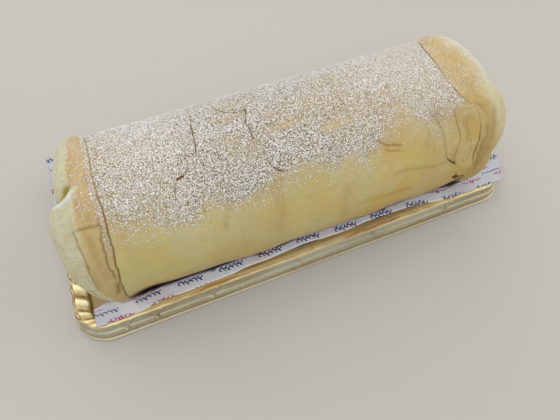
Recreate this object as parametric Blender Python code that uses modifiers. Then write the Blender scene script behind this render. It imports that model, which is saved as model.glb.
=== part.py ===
"""A whole roll cake, folded shut at both ends, on a paper liner in a shallow gold tray.

Units are metres, +Z is up and +X runs along the roll. The origin is the centre of the
tray's flat underside. Angles round the roll start at the far side (+Y), pass the top
at 90 degrees and reach the near side (-Y) at 180 degrees.
"""

import math

import bmesh
import bpy
from mathutils import Vector, noise

# Tray: a thin formed sheet with a rounded-rectangle plan
TRAY_LENGTH = 0.302
TRAY_WIDTH = 0.104
TRAY_CORNER_RADIUS = 0.022
TRAY_SHEET = 0.0008
TRAY_RIM_HEIGHT = 0.0125
TRAY_LEDGE_HEIGHT = 0.0066
TRAY_LIP_LIFT = 0.0002
TRAY_CORNER_POINTS = 7
TRAY_LONG_CUTS = 11
TRAY_SHORT_CUTS = 3

# Liner: one sheet of paper under the cake, over both rims and out past the far one
PAPER_SHEET = 0.0003
CLEARANCE = 0.0003
PAPER_NEAR_Y = -0.0442
PAPER_NEAR_WAVE = 0.0014
PAPER_WAVE_LENGTH = 0.220
PAPER_WAVE_X = -0.020
PAPER_FAR_Y = 0.078
PAPER_FAR_LIFT = 0.0095
PAPER_LIFT_START = 0.044
PAPER_LIFT_POWER = 1.4
PAPER_SIDE_RISE = (0.0195, 0.0405)
PAPER_END_RISE = (0.118, 0.1385)
PAPER_LEFT_X = (-0.136, -0.1500)
PAPER_LEFT_SPREAD = (-0.010, 0.030)
PAPER_LEFT_RETURN = 0.0045
PAPER_RIGHT_X = (0.144, 0.151)
PAPER_RIGHT_SPREAD = (-0.045, -0.032)
PAPER_CELLS = (26, 26)
PAPER_END_CELLS = 8
PAPER_END_SHARE = 0.14

# Roll: a round section with a fuller lower half, flat where it rests
ROLL_HALF_WIDTH = 0.0463
ROLL_RISE = 0.0465
ROLL_DROP = 0.0476
ROLL_LOWER_POWER = 2.15
ROLL_AXIS_Y = 0.0004
ROLL_AXIS_Z = 0.0483
ROLL_SEGMENTS = 48
ROLL_SIDE_RINGS = 46
ROLL_WAVE = 0.0012
ROLL_WAVES_ALONG = 22.0
ROLL_WAVES_ROUND = 1.4
ROLL_NEAR_SAG = 0.0015
ROLL_SAG_CENTRE = -0.025
ROLL_SAG_LENGTH = 0.210
ROLL_SAG_ANGLE = 205.0
ROLL_SAG_SPREAD = 45.0
EDGE_ROUND = 0.0015

# Joints between the main sponge and the folded ends
SEAM_GAP = 0.0006
LEFT_SEAM_X = -0.1105
LEFT_SEAM_LEAN = 0.205
LEFT_SEAM_BLEND = 0.010
RIGHT_SEAM_X = 0.1045
RIGHT_SEAM_NOTCH = 0.0135
RIGHT_SEAM_NOTCH_ANGLE = 93.0
RIGHT_SEAM_NOTCH_WIDTH = 34.0

# Gusset: the near stretch beside the right joint, tucked under the sheet that meets it
GUSSET_LINE = ((123, 0.071), (131, 0.0775), (143, 0.0795), (158, 0.080), (184, 0.093), (203, 0.105))
GUSSET_DEPTH = 0.0012
GUSSET_BLEND = 0.004
GUSSET_FADE = 14.0

# Folded ends: where the dome starts, its reach, the near lobe, the radius and how it narrows at
# the joint. A crease is (angle, spread, share of the radius).
LEFT_END = {"start": -0.108, "reach": 0.0180, "lobe": 0.0095, "lobe_angle": 153.0, "lobe_spread": 44.0,
            "radius": 1.015, "far_radius": 0.030, "neck": 0.040, "fullness": 3.2}
RIGHT_END = {"start": 0.104, "reach": 0.0207, "lobe": 0.0048, "lobe_angle": 142.0, "lobe_spread": 34.0,
             "radius": 1.030, "far_radius": 0.0, "neck": 0.030, "fullness": 3.5}
LEFT_CREASES = ((97.0, 7.0, 0.24), (196.0, 8.0, 0.10), (285.0, 9.0, 0.14), (20.0, 9.0, 0.10))
RIGHT_CREASES = ((112.0, 10.0, 0.04), (172.0, 8.0, 0.08), (232.0, 9.0, 0.14), (330.0, 9.0, 0.12))
END_STATIONS = (1.0, 0.998, 0.985, 0.94, 0.86, 0.75, 0.62, 0.48, 0.33, 0.18, 0.07, 0.0)
FACE_STATIONS = (0.72, 0.40, 0.0)
NECK_SHARE = 0.30
FAR_SHOULDER = (60.0, 45.0)
CREASE_SHARES = (0.2, 0.85)

SHARP_DEGREES = 40.0

# Plain colours: (red, green, blue), roughness, metallic
SPONGE_LOOK = ((0.56, 0.43, 0.20), 0.85, 0.0)
END_LOOK = ((0.62, 0.52, 0.30), 0.90, 0.0)
PAPER_LOOK = ((0.80, 0.81, 0.84), 0.60, 0.0)
TRAY_LOOK = ((0.72, 0.56, 0.27), 0.25, 0.85)


def smooth(value, low, high):
    """A ramp from 0 at low to 1 at high, level at both ends."""
    t = min(max((value - low) / (high - low), 0.0), 1.0)
    return t * t * (3.0 - 2.0 * t)


def bump(angle, centre, spread):
    """A bell of height 1 round an angle, in degrees."""
    away = (angle - centre + 180.0) % 360.0 - 180.0
    return math.exp(-((away / spread) ** 2))


def plain_material(name, look):
    """A Principled material from a colour, a roughness and a metallic value."""
    colour, roughness, metallic = look
    material = bpy.data.materials.new(name)
    material.use_nodes = True
    shader = material.node_tree.nodes["Principled BSDF"]
    shader.inputs["Base Color"].default_value = (*colour, 1.0)
    shader.inputs["Roughness"].default_value = roughness
    shader.inputs["Metallic"].default_value = metallic
    return material


def add_object(name, bm, look, collection):
    """Turn a bmesh into a named, smooth-shaded object with its own material."""
    mesh = bpy.data.meshes.new(name)
    bm.to_mesh(mesh)
    bm.free()
    mesh.shade_smooth()
    mesh.set_sharp_from_angle(angle=math.radians(SHARP_DEGREES))
    mesh.materials.append(plain_material(name, look))
    part = bpy.data.objects.new(name, mesh)
    collection.objects.link(part)
    return part


def add_solidify(part, thickness):
    """Give an open sheet its thickness, below its upper face."""
    wall = part.modifiers.new("Sheet", "SOLIDIFY")
    wall.thickness = thickness
    wall.offset = -1.0
    wall.use_even_offset = True


# ---------------------------------------------------------------- tray


def tray_steps():
    """The tray's section as (inset from its outer edge, height of the upper face)."""
    rim = TRAY_RIM_HEIGHT
    ledge = TRAY_LEDGE_HEIGHT
    foot = TRAY_SHEET
    lip = TRAY_SHEET + TRAY_LIP_LIFT
    return (
        (0.0000, lip),
        (0.0010, lip),
        (0.0017, ledge - 0.0010),
        (0.0024, ledge - 0.0002),
        (0.0034, ledge),
        (0.0042, rim - 0.0009),
        (0.0050, rim),
        (0.0092, rim),
        (0.0100, rim - 0.0009),
        (0.0130, foot + 0.0014),
        (0.0146, foot),
    )


def rounded_outline(length, width, radius, points):
    """A flat face with this plan: a circle's four quarters moved out to the corners."""
    bm = bmesh.new()
    bmesh.ops.create_circle(bm, cap_ends=True, radius=1.0, segments=4 * points)
    for vert in bm.verts:
        turn = math.degrees(math.atan2(vert.co.y, vert.co.x)) % 360.0
        quarter, place = divmod(round(turn * points / 90.0) % (4 * points), points)
        angle = math.radians(90.0 * (quarter + place / (points - 1)))
        right = 1.0 if quarter in (0, 3) else -1.0
        far = 1.0 if quarter in (0, 1) else -1.0
        vert.co.x = right * (length / 2.0 - radius) + radius * math.cos(angle)
        vert.co.y = far * (width / 2.0 - radius) + radius * math.sin(angle)
    bm.normal_update()
    if bm.faces[:][0].normal.z < 0.0:
        bmesh.ops.reverse_faces(bm, faces=bm.faces)
    return bm


def build_tray(collection):
    """Lip, ledge, outer wall, flat rim, inner wall and floor, pressed from one sheet."""
    bm = rounded_outline(TRAY_LENGTH, TRAY_WIDTH, TRAY_CORNER_RADIUS, TRAY_CORNER_POINTS)
    for axis, cuts in ((0, TRAY_LONG_CUTS), (1, TRAY_SHORT_CUTS)):
        longest = 2.0 * TRAY_CORNER_RADIUS
        straight = [edge for edge in bm.edges
                    if abs(edge.verts[0].co[axis] - edge.verts[1].co[axis]) > longest]
        bmesh.ops.bisect_edges(bm, edges=straight, cuts=cuts)
    steps = tray_steps()
    bmesh.ops.translate(bm, vec=(0.0, 0.0, steps[0][1]), verts=bm.verts)
    floor = bm.faces[:][0]
    for (inset, height), (next_inset, next_height) in zip(steps, steps[1:]):
        bmesh.ops.inset_region(bm, faces=[floor], thickness=next_inset - inset,
                               depth=next_height - height, use_boundary=True, use_even_offset=True)
    tray = add_object("tray", bm, TRAY_LOOK, collection)
    add_solidify(tray, TRAY_SHEET)
    return tray


# ---------------------------------------------------------------- paper liner


def paper_column(u):
    """Where an even step along the liner lies: closer together near the ends, where it bends."""
    step = min(u, 1.0 - u) * PAPER_CELLS[0]
    middle_cells = PAPER_CELLS[0] / 2.0 - PAPER_END_CELLS
    if step <= PAPER_END_CELLS:
        share = PAPER_END_SHARE * step / PAPER_END_CELLS
    else:
        share = PAPER_END_SHARE + (0.5 - PAPER_END_SHARE) * (step - PAPER_END_CELLS) / middle_cells
    return share if u <= 0.5 else 1.0 - share


def paper_point(u, v):
    """The liner's upper face at u along the roll and v across it, each 0 to 1."""
    u = paper_column(u)
    along = (u - 0.5) * TRAY_LENGTH
    wave = math.cos(2.0 * math.pi * (along - PAPER_WAVE_X) / PAPER_WAVE_LENGTH)
    near = PAPER_NEAR_Y + PAPER_NEAR_WAVE * wave
    y = near + (PAPER_FAR_Y - near) * v
    left = PAPER_LEFT_X[0] + (PAPER_LEFT_X[1] - PAPER_LEFT_X[0]) * smooth(y, *PAPER_LEFT_SPREAD)
    left += PAPER_LEFT_RETURN * smooth(y, PAPER_LEFT_SPREAD[1], PAPER_FAR_Y)
    right = PAPER_RIGHT_X[0] + (PAPER_RIGHT_X[1] - PAPER_RIGHT_X[0]) * smooth(y, *PAPER_RIGHT_SPREAD)
    x = left + (right - left) * u
    side = smooth(abs(y), *PAPER_SIDE_RISE)
    end = smooth(abs(x), *PAPER_END_RISE)
    lying = TRAY_SHEET + CLEARANCE + PAPER_SHEET
    over = TRAY_RIM_HEIGHT + CLEARANCE + PAPER_SHEET
    z = lying + (over - lying) * (1.0 - (1.0 - side) * (1.0 - end))
    past = max(y - PAPER_LIFT_START, 0.0) / (PAPER_FAR_Y - PAPER_LIFT_START)
    z += PAPER_FAR_LIFT * past**PAPER_LIFT_POWER
    return Vector((x, y, z))


def build_paper(collection):
    """The liner as a sheet bent up both sides and both ends of the tray."""
    bm = bmesh.new()
    bmesh.ops.create_grid(bm, x_segments=PAPER_CELLS[0], y_segments=PAPER_CELLS[1], size=0.5)
    for vert in bm.verts:
        vert.co = paper_point(vert.co.x + 0.5, vert.co.y + 0.5)
    paper = add_object("paper_liner", bm, PAPER_LOOK, collection)
    add_solidify(paper, PAPER_SHEET)
    return paper


# ---------------------------------------------------------------- cake


def section_point(angle, factor):
    """(y, z) on the roll's section at an angle in degrees, factor 1 being its surface."""
    c = math.cos(math.radians(angle))
    s = math.sin(math.radians(angle))
    if s >= 0.0:
        y = ROLL_HALF_WIDTH * c
        z = ROLL_RISE * s
    else:
        n = ROLL_LOWER_POWER
        k = (abs(c) ** n + abs(s) ** n) ** (-1.0 / n)
        y = ROLL_HALF_WIDTH * c * k
        z = ROLL_DROP * s * k
    rest = TRAY_SHEET + PAPER_SHEET + 2.0 * CLEARANCE
    rest_depth = ROLL_AXIS_Z - rest
    return ROLL_AXIS_Y + y * factor, ROLL_AXIS_Z + max(z * factor, -rest_depth)


def left_seam(angle, factor):
    """X of the joint between the main sponge and the left end: a plane that leans in at the top."""
    z = section_point(angle, factor)[1] - ROLL_AXIS_Z
    above = 0.5 * (z + math.hypot(z, LEFT_SEAM_BLEND))
    return LEFT_SEAM_X + LEFT_SEAM_LEAN * above


def right_seam(angle, factor):
    """X of the joint on the right: square across, with a shallow tongue over the top."""
    tongue = bump(angle, RIGHT_SEAM_NOTCH_ANGLE, RIGHT_SEAM_NOTCH_WIDTH)
    return RIGHT_SEAM_X - RIGHT_SEAM_NOTCH * factor**2 * tongue


def gusset_sink(x, angle):
    """How far the near surface beside the right joint lies below the rest."""
    first = GUSSET_LINE[0][0]
    last = GUSSET_LINE[-1][0]
    if not first <= angle <= last:
        return 0.0
    for (a, xa), (b, xb) in zip(GUSSET_LINE, GUSSET_LINE[1:]):
        if a <= angle <= b:
            edge = xa + (xb - xa) * (angle - a) / (b - a)
            break
    fade = smooth(angle, first, first + GUSSET_FADE) * (1.0 - smooth(angle, last - GUSSET_FADE, last))
    return GUSSET_DEPTH * fade * smooth(x, edge, edge + GUSSET_BLEND)


def swell(x, angle):
    """The sponge's slow unevenness, and its sag on the near side, as a change of radius."""
    c = ROLL_WAVES_ROUND * math.cos(math.radians(angle))
    s = ROLL_WAVES_ROUND * math.sin(math.radians(angle))
    at = Vector((x * ROLL_WAVES_ALONG, c, s))
    sag = math.cos(2.0 * math.pi * (x - ROLL_SAG_CENTRE) / ROLL_SAG_LENGTH)
    sag *= bump(angle, ROLL_SAG_ANGLE, ROLL_SAG_SPREAD)
    return ROLL_WAVE * noise.noise(at) + ROLL_NEAR_SAG * sag


def roll_point(angle, station):
    """A point of the main sponge: a station is ('left' or 'right', factor) or ('side', share)."""
    kind, value = station
    if kind == "left":
        y, z = section_point(angle, value)
        return Vector((left_seam(angle, value) + SEAM_GAP / 2.0, y, z))
    if kind == "right":
        y, z = section_point(angle, value)
        return Vector((right_seam(angle, value) - SEAM_GAP / 2.0, y, z))
    low = left_seam(angle, 1.0) + SEAM_GAP / 2.0
    high = right_seam(angle, 1.0) - SEAM_GAP / 2.0
    x = high + (low - high) * value
    depth = gusset_sink(x, angle) - swell(x, angle)
    from_end = max(min(x - low, high - x), 0.0)
    if from_end < EDGE_ROUND:
        depth += EDGE_ROUND - math.sqrt(EDGE_ROUND**2 - (EDGE_ROUND - from_end) ** 2)
    y, z = section_point(angle, 1.0 - depth / ROLL_RISE)
    return Vector((x, y, z))


def end_point(angle, station, shape, seam, creases):
    """A point of a folded end: a station is ('dome', share of its reach) or ('face', factor)."""
    kind, value = station
    side = 1.0 if shape["start"] > 0.0 else -1.0
    factor = shape["radius"] + shape["far_radius"] * bump(angle, *FAR_SHOULDER)
    at_joint = factor - shape["neck"]
    if kind == "face":
        y, z = section_point(angle, value * at_joint)
        return Vector((seam(angle, value) + side * SEAM_GAP / 2.0, y, z))
    factor = at_joint + shape["neck"] * smooth(value, 0.0, NECK_SHARE)
    power = shape["fullness"]
    full = max(1.0 - value**power, 0.0) ** (1.0 / power)
    from_seam = side * (shape["start"] - seam(angle, 1.0)) - SEAM_GAP / 2.0
    lobe = shape["lobe"] * bump(angle, shape["lobe_angle"], shape["lobe_spread"]) * math.sqrt(full)
    x = seam(angle, 1.0) + side * (SEAM_GAP / 2.0 + (from_seam + shape["reach"] + lobe) * value)
    for centre, spread, depth in creases:
        full *= 1.0 - depth * bump(angle, centre, spread) * smooth(value, *CREASE_SHARES)
    y, z = section_point(angle, factor * full)
    return Vector((x, y, z))


def add_turned(name, stations, place, look, collection):
    """A closed body of rings along X, from a sphere's rings: the first station is at +X."""
    rings = len(stations) - 1
    bm = bmesh.new()
    bmesh.ops.create_uvsphere(bm, u_segments=ROLL_SEGMENTS, v_segments=rings, radius=1.0)
    for vert in bm.verts:
        polar = math.acos(min(max(vert.co.z, -1.0), 1.0))
        angle = math.degrees(math.atan2(vert.co.y, vert.co.x)) % 360.0
        vert.co = place(angle, stations[round(polar / math.pi * rings)])
    return add_object(name, bm, look, collection)


def build_sponge(collection):
    """The main roll between its two joints."""
    right = [("right", factor) for factor in reversed(FACE_STATIONS)]
    left = [("left", factor) for factor in FACE_STATIONS]
    side = [("side", step / ROLL_SIDE_RINGS) for step in range(ROLL_SIDE_RINGS + 1)]
    return add_turned("sponge_roll", right + side + left, roll_point, SPONGE_LOOK, collection)


def build_left_end(collection):
    """The left end, folded shut in two big lobes."""
    face = [("face", factor) for factor in reversed(FACE_STATIONS)]
    dome = [("dome", value) for value in reversed(END_STATIONS)]

    def place(angle, station):
        return end_point(angle, station, LEFT_END, left_seam, LEFT_CREASES)

    return add_turned("folded_end_left", face + dome, place, END_LOOK, collection)


def build_right_end(collection):
    """The right end, its pleats gathered on the near side."""
    face = [("face", factor) for factor in FACE_STATIONS]
    dome = [("dome", value) for value in END_STATIONS]

    def place(angle, station):
        return end_point(angle, station, RIGHT_END, right_seam, RIGHT_CREASES)

    return add_turned("folded_end_right", dome + face, place, END_LOOK, collection)


def main():
    """Empty the scene and build the five pieces."""
    for old in list(bpy.data.objects):
        bpy.data.objects.remove(old, do_unlink=True)
    cake = bpy.data.collections.new("roll_cake")
    bpy.context.scene.collection.children.link(cake)
    build_tray(cake)
    build_paper(cake)
    build_sponge(cake)
    build_left_end(cake)
    build_right_end(cake)


main()
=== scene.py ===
"""A whole roll cake in its shallow gold tray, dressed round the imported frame.

Lengths are metres unless a name says millimetres. +X runs along the roll and +Z is up. Angles
round the roll are degrees: 0 at the far side (+Y), 90 on top and 180 at the near side (-Y).
"""

import itertools
import logging
import math
from collections.abc import Callable, Sequence
from dataclasses import dataclass
from enum import Enum

import bpy
import numpy as np
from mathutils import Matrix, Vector, noise


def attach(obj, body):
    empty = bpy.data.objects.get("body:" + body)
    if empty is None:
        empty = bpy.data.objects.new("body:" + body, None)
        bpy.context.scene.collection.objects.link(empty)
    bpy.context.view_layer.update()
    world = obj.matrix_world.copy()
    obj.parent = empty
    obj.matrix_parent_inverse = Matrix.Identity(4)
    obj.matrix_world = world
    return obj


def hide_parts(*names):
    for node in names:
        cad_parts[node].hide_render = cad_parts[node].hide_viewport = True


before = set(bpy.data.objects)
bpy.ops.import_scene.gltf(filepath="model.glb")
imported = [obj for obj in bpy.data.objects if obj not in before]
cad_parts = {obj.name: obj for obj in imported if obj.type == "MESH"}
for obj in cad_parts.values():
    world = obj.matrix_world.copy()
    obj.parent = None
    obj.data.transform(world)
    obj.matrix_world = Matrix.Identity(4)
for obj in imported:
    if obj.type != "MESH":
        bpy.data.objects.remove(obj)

LOG = logging.getLogger("roll_cake")
MM = 0.001
BODY = "root"

# The roll's radius, the distance round it for one degree, and half the gap at a joint.
RADIUS_MM = 46.5
MM_PER_DEGREE = 0.81
HALF_GAP = 0.00002

# Sugar stays off where the painted crease shade is darker than this.
CLEAN_BELOW = 0.25

# Large odd numbers that scramble a noise cell's place and its seed.
SCRAMBLE = (73856093, 19349663, 83492791)
SCRAMBLE_SEED = 2654435

Array = np.ndarray
Colour = tuple[float, float, float]
Triple = tuple[float, float, float]
Points = tuple[tuple[float, float], ...]


# ---------------------------------------------------------------- numbers over a surface


def ramp(value: Array, low: float, high: float) -> Array:
    """Rise smoothly from 0 at low to 1 at high.

    Args:
        value: The numbers to map.
        low: Where the ramp starts.
        high: Where it ends, which may be below low.

    Returns:
        The ramp at each number.
    """
    t = np.clip((value - low) / (high - low), 0.0, 1.0)
    return t * t * (3.0 - 2.0 * t)


def bell(angle: Array, centre: float, spread: float) -> Array:
    """A bell of height 1 round an angle in degrees."""
    away = (angle - centre + 180.0) % 360.0 - 180.0
    return np.exp(-((away / spread) ** 2))


def value_noise(points: Array, seed: int = 0) -> Array:
    """Smooth random numbers from -1 to 1 with features about one unit across.

    Args:
        points: Places, one row of three numbers each.
        seed: Picks another pattern.

    Returns:
        One number for each place.
    """
    cell = np.floor(points).astype(np.int64)
    part = points - cell
    fade = part**3 * (part * (part * 6.0 - 15.0) + 10.0)
    total = np.zeros(len(points))
    for corner in itertools.product((0, 1), repeat=3):
        at = cell + np.array(corner)
        key = np.bitwise_xor.reduce(at * np.array(SCRAMBLE), axis=1) ^ (seed * SCRAMBLE_SEED)
        key = (key ^ (key >> 13)) & 0x7FFFFFFF
        key = (key * 1274126177) & 0x7FFFFFFF
        key = key ^ (key >> 15)
        weight = np.prod(np.where(np.array(corner) == 1, fade, 1.0 - fade), axis=1)
        total += weight * ((key & 0xFFFF) / 32767.5 - 1.0)
    return total


def layered_noise(points: Array, size: float, layers: int = 3, seed: int = 0) -> Array:
    """Add layers of noise, each half as large and half as strong as the one before.

    Args:
        points: Places in metres, one row of three numbers each.
        size: How wide the largest features are, in metres.
        layers: How many layers are added.
        seed: Picks another pattern.

    Returns:
        One number from about -1 to 1 for each place.
    """
    total = np.zeros(len(points))
    for layer in range(layers):
        total += value_noise(points * (2.0**layer / size), seed + layer) * 0.5**layer
    return total / (2.0 - 0.5 ** (layers - 1))


class FoldKind(Enum):
    """What a line on the sponge is."""

    CRACK = "a narrow split in the dusted skin"
    CREASE = "a soft valley"
    LAP = "the edge of a sheet that lies over the next: high on its left, low on its right"
    HOLLOW = "a moist yellow valley"
    RIM = "a low ridge, pale with flour"


# Cracks, creases and laps make painted shade; a hollow is moist and a rim floured.
MASKS = {FoldKind.CRACK: "crease", FoldKind.CREASE: "crease", FoldKind.LAP: "crease",
         FoldKind.HOLLOW: "moist",
         FoldKind.RIM: "flour"}


@dataclass(frozen=True)
class Fold:
    """A line on the sponge, through (millimetres along, degrees round) points.

    Width, depth, reach and waver are millimetres, and shade is how strong the line's mask is:
    painted shade for a crack, a crease or a lap, the moist colour for a hollow and flour for a rim.
    A lap's step dies out over its reach.
    """

    kind: FoldKind
    points: Points
    width: float
    depth: float
    shade: float = 1.0
    reach: float = 5.0
    waver: float = 0.55
    waver_size: float = 0.0028
    fade: float = 0.18

    def track(self, along: Array, around: Array, radius: float) -> tuple[Array, Array, Array]:
        """Find each place's nearest point on the line.

        Args:
            along: Millimetres along.
            around: Degrees round.
            radius: Millimetres for each radian round.

        Returns:
            The distance in millimetres, the side (1 is to the right of the line's direction),
            and the share of the line's length passed.
        """
        scale = math.radians(1.0) * radius
        line = np.array([(x, angle * scale) for x, angle in self.points])
        spot = np.stack([along, around * scale], axis=1)
        flat = np.column_stack([spot, np.zeros(len(spot))]) * MM
        spot[:, 0] += self.waver * layered_noise(flat, self.waver_size, 3, 91)
        spot[:, 1] += self.waver * layered_noise(flat, self.waver_size, 3, 92)
        steps = np.linalg.norm(np.diff(line, axis=0), axis=1)
        passed = np.concatenate([[0.0], np.cumsum(steps)])
        best = np.full(len(spot), 1e9)
        side = np.ones(len(spot))
        share = np.zeros(len(spot))
        for start, end, length, before in zip(line, line[1:], steps, passed):
            way = (end - start) / length
            offset = spot - start
            t = np.clip(offset @ way, 0.0, length)
            gap = offset - t[:, None] * way
            distance = np.hypot(gap[:, 0], gap[:, 1])
            nearer = distance < best
            best = np.where(nearer, distance, best)
            turn = way[0] * offset[:, 1] - way[1] * offset[:, 0]
            side = np.where(nearer, np.where(turn <= 0.0, 1.0, -1.0), side)
            share = np.where(nearer, (before + t) / passed[-1], share)
        return best, side, share

    def relief(self, along: Array, around: Array, radius: float) -> tuple[Array, Array]:
        """Work out how the line changes the surface.

        Args:
            along: Millimetres along.
            around: Degrees round.
            radius: Millimetres for each radian round.

        Returns:
            The height in millimetres, and the line's mask from 0 to 1.
        """
        height = np.zeros(len(along))
        dark = np.zeros(len(along))
        xs = [x for x, _ in self.points]
        angles = [angle for _, angle in self.points]
        margin = self.reach * 3.0
        near = (along > min(xs) - margin) & (along < max(xs) + margin)
        near &= (around > min(angles) - margin) & (around < max(angles) + margin)
        if not near.any():
            return height, dark
        distance, side, share = self.track(along[near], around[near], radius)
        taper = ramp(share, 0.0, self.fade) * ramp(share, 1.0, 1.0 - self.fade)
        if self.kind is FoldKind.CRACK:
            round_it = around[near] * MM_PER_DEGREE
            flat = np.column_stack([along[near], round_it, np.zeros(len(round_it))]) * MM
            dashes = ramp(layered_noise(flat, 0.0035, 2, 93), -0.45, 0.05)
            taper = taper * (0.35 + 0.65 * dashes)
        if self.kind is FoldKind.LAP:
            signed = distance * side
            drop = ramp(signed, -0.35 * self.width, 0.65 * self.width)
            drop = drop * np.exp(-np.maximum(signed, 0.0) / self.reach)
            lip = np.exp(-(((signed + 1.1 * self.width) / self.width) ** 2))
            height[near] = self.depth * taper * (0.28 * lip - drop)
            # Painted shade on the low side of the lap's step.
            beside = (signed - 0.25 * self.width) / (0.7 * self.width)
            dark[near] = self.shade * taper * np.exp(-(beside**2))
        else:
            valley = np.exp(-((distance / self.width) ** 2))
            height[near] = (self.depth if self.kind is FoldKind.RIM else -self.depth) * taper * valley
            dark[near] = self.shade * taper * valley
        return height, dark


def add_folds(
    folds: Sequence[Fold], along: Array, around: Array, radius: float
) -> tuple[Array, dict[str, Array]]:
    """Add up the relief of several lines.

    Args:
        folds: The lines.
        along: Millimetres along.
        around: Degrees round.
        radius: Millimetres for each radian round.

    Returns:
        The height in metres, and the masks from 0 to 1: the painted crease shade, moist and flour.
    """
    height = np.zeros(len(along))
    masks = {name: np.zeros(len(along)) for name in ("crease", "moist", "flour")}
    for fold in folds:
        more, mask = fold.relief(along, around, radius)
        height += more * MM
        name = MASKS[fold.kind]
        masks[name] = np.maximum(masks[name], mask)
    return height, masks


# ---------------------------------------------------------------- mesh tools


def deselect() -> None:
    """Leave edit mode and deselect every object."""
    if bpy.context.object is not None and bpy.context.object.mode != "OBJECT":
        bpy.ops.object.mode_set(mode="OBJECT")
    bpy.ops.object.select_all(action="DESELECT")


def select_only(piece: bpy.types.Object) -> None:
    """Select one piece, and make it the active one.

    Args:
        piece: The piece.
    """
    deselect()
    piece.select_set(True)
    bpy.context.view_layer.objects.active = piece


def read_points(piece: bpy.types.Object) -> Array:
    """Read a piece's vertex places.

    Args:
        piece: The piece.

    Returns:
        One row of three numbers for each vertex.
    """
    flat = np.empty(len(piece.data.vertices) * 3)
    piece.data.vertices.foreach_get("co", flat)
    return flat.reshape(-1, 3)


def write_points(piece: bpy.types.Object, points: Array) -> None:
    """Move the piece's vertices to these places."""
    piece.data.vertices.foreach_set("co", points.astype(np.float32).ravel())
    piece.data.update()


def write_field(piece: bpy.types.Object, name: str, values: Array) -> None:
    """Keep one number for each vertex in a named attribute, which a material reads."""
    layer = piece.data.attributes.new(name, "FLOAT", "POINT")
    layer.data.foreach_set("value", values.astype(np.float32))


def add_grid(name: str, columns: int, rows: int) -> bpy.types.Object:
    """Add a flat unit grid whose X and Y run from 0 to 1.

    Args:
        name: The piece's name.
        columns: Faces along X.
        rows: Faces along Y.

    Returns:
        The new piece.
    """
    deselect()
    bpy.ops.mesh.primitive_grid_add(x_subdivisions=columns, y_subdivisions=rows, size=1.0)
    piece = bpy.context.object
    piece.name = name
    piece.data.name = name
    write_points(piece, read_points(piece) + np.array([0.5, 0.5, 0.0]))
    return piece


def refine(piece: bpy.types.Object, chosen: Array, cuts: int) -> None:
    """Subdivide the faces that are chosen.

    Args:
        piece: A piece of quads.
        chosen: True for each face to cut.
        cuts: How many cuts each of its edges gets.
    """
    select_only(piece)
    bpy.ops.object.mode_set(mode="EDIT")
    bpy.ops.mesh.select_mode(type="FACE")
    bpy.ops.mesh.select_all(action="DESELECT")
    bpy.ops.object.mode_set(mode="OBJECT")
    piece.data.polygons.foreach_set("select", chosen)
    bpy.ops.object.mode_set(mode="EDIT")
    bpy.ops.mesh.subdivide(number_cuts=cuts)
    bpy.ops.object.mode_set(mode="OBJECT")


def face_centres(piece: bpy.types.Object) -> Array:
    """Read the middle of each face.

    Args:
        piece: The piece.

    Returns:
        One row of three numbers for each face.
    """
    flat = np.empty(len(piece.data.polygons) * 3)
    piece.data.polygons.foreach_get("center", flat)
    return flat.reshape(-1, 3)


def close_up(piece: bpy.types.Object, gap: float = 1e-6) -> None:
    """Merge the vertices that meet, and turn every face outwards.

    Args:
        piece: The piece whose rims meet themselves.
        gap: How close two vertices are when they meet.
    """
    select_only(piece)
    bpy.ops.object.mode_set(mode="EDIT")
    bpy.ops.mesh.select_all(action="SELECT")
    bpy.ops.mesh.remove_doubles(threshold=gap)
    bpy.ops.mesh.dissolve_degenerate(threshold=gap)
    bpy.ops.mesh.select_all(action="SELECT")
    bpy.ops.mesh.normals_make_consistent(inside=False)
    bpy.ops.object.mode_set(mode="OBJECT")
    piece.data.shade_smooth()


def apply_modifier(piece: bpy.types.Object, kind: str, **settings: object) -> None:
    """Add a modifier with these settings and apply it.

    Args:
        piece: The piece to change.
        kind: The modifier's type, such as SOLIDIFY.
        settings: Its values, by name.
    """
    select_only(piece)
    modifier = piece.modifiers.new(kind.title(), kind)
    for key, value in settings.items():
        setattr(modifier, key, value)
    bpy.ops.object.modifier_apply(modifier=modifier.name)


def finish_piece(
    piece: bpy.types.Object, material: bpy.types.Material, nodes: Sequence[str]
) -> None:
    """Dress a piece, ride it on the cake's one body and hide the CAD nodes that it replaces.

    Args:
        piece: The finished mesh.
        material: Its material.
        nodes: The CAD nodes that it replaces, if any.
    """
    piece.data.materials.clear()
    piece.data.materials.append(material)
    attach(piece, BODY)
    if nodes:
        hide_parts(*nodes)
    LOG.info("%s: %d faces", piece.name, len(piece.data.polygons))


# ---------------------------------------------------------------- materials


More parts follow.
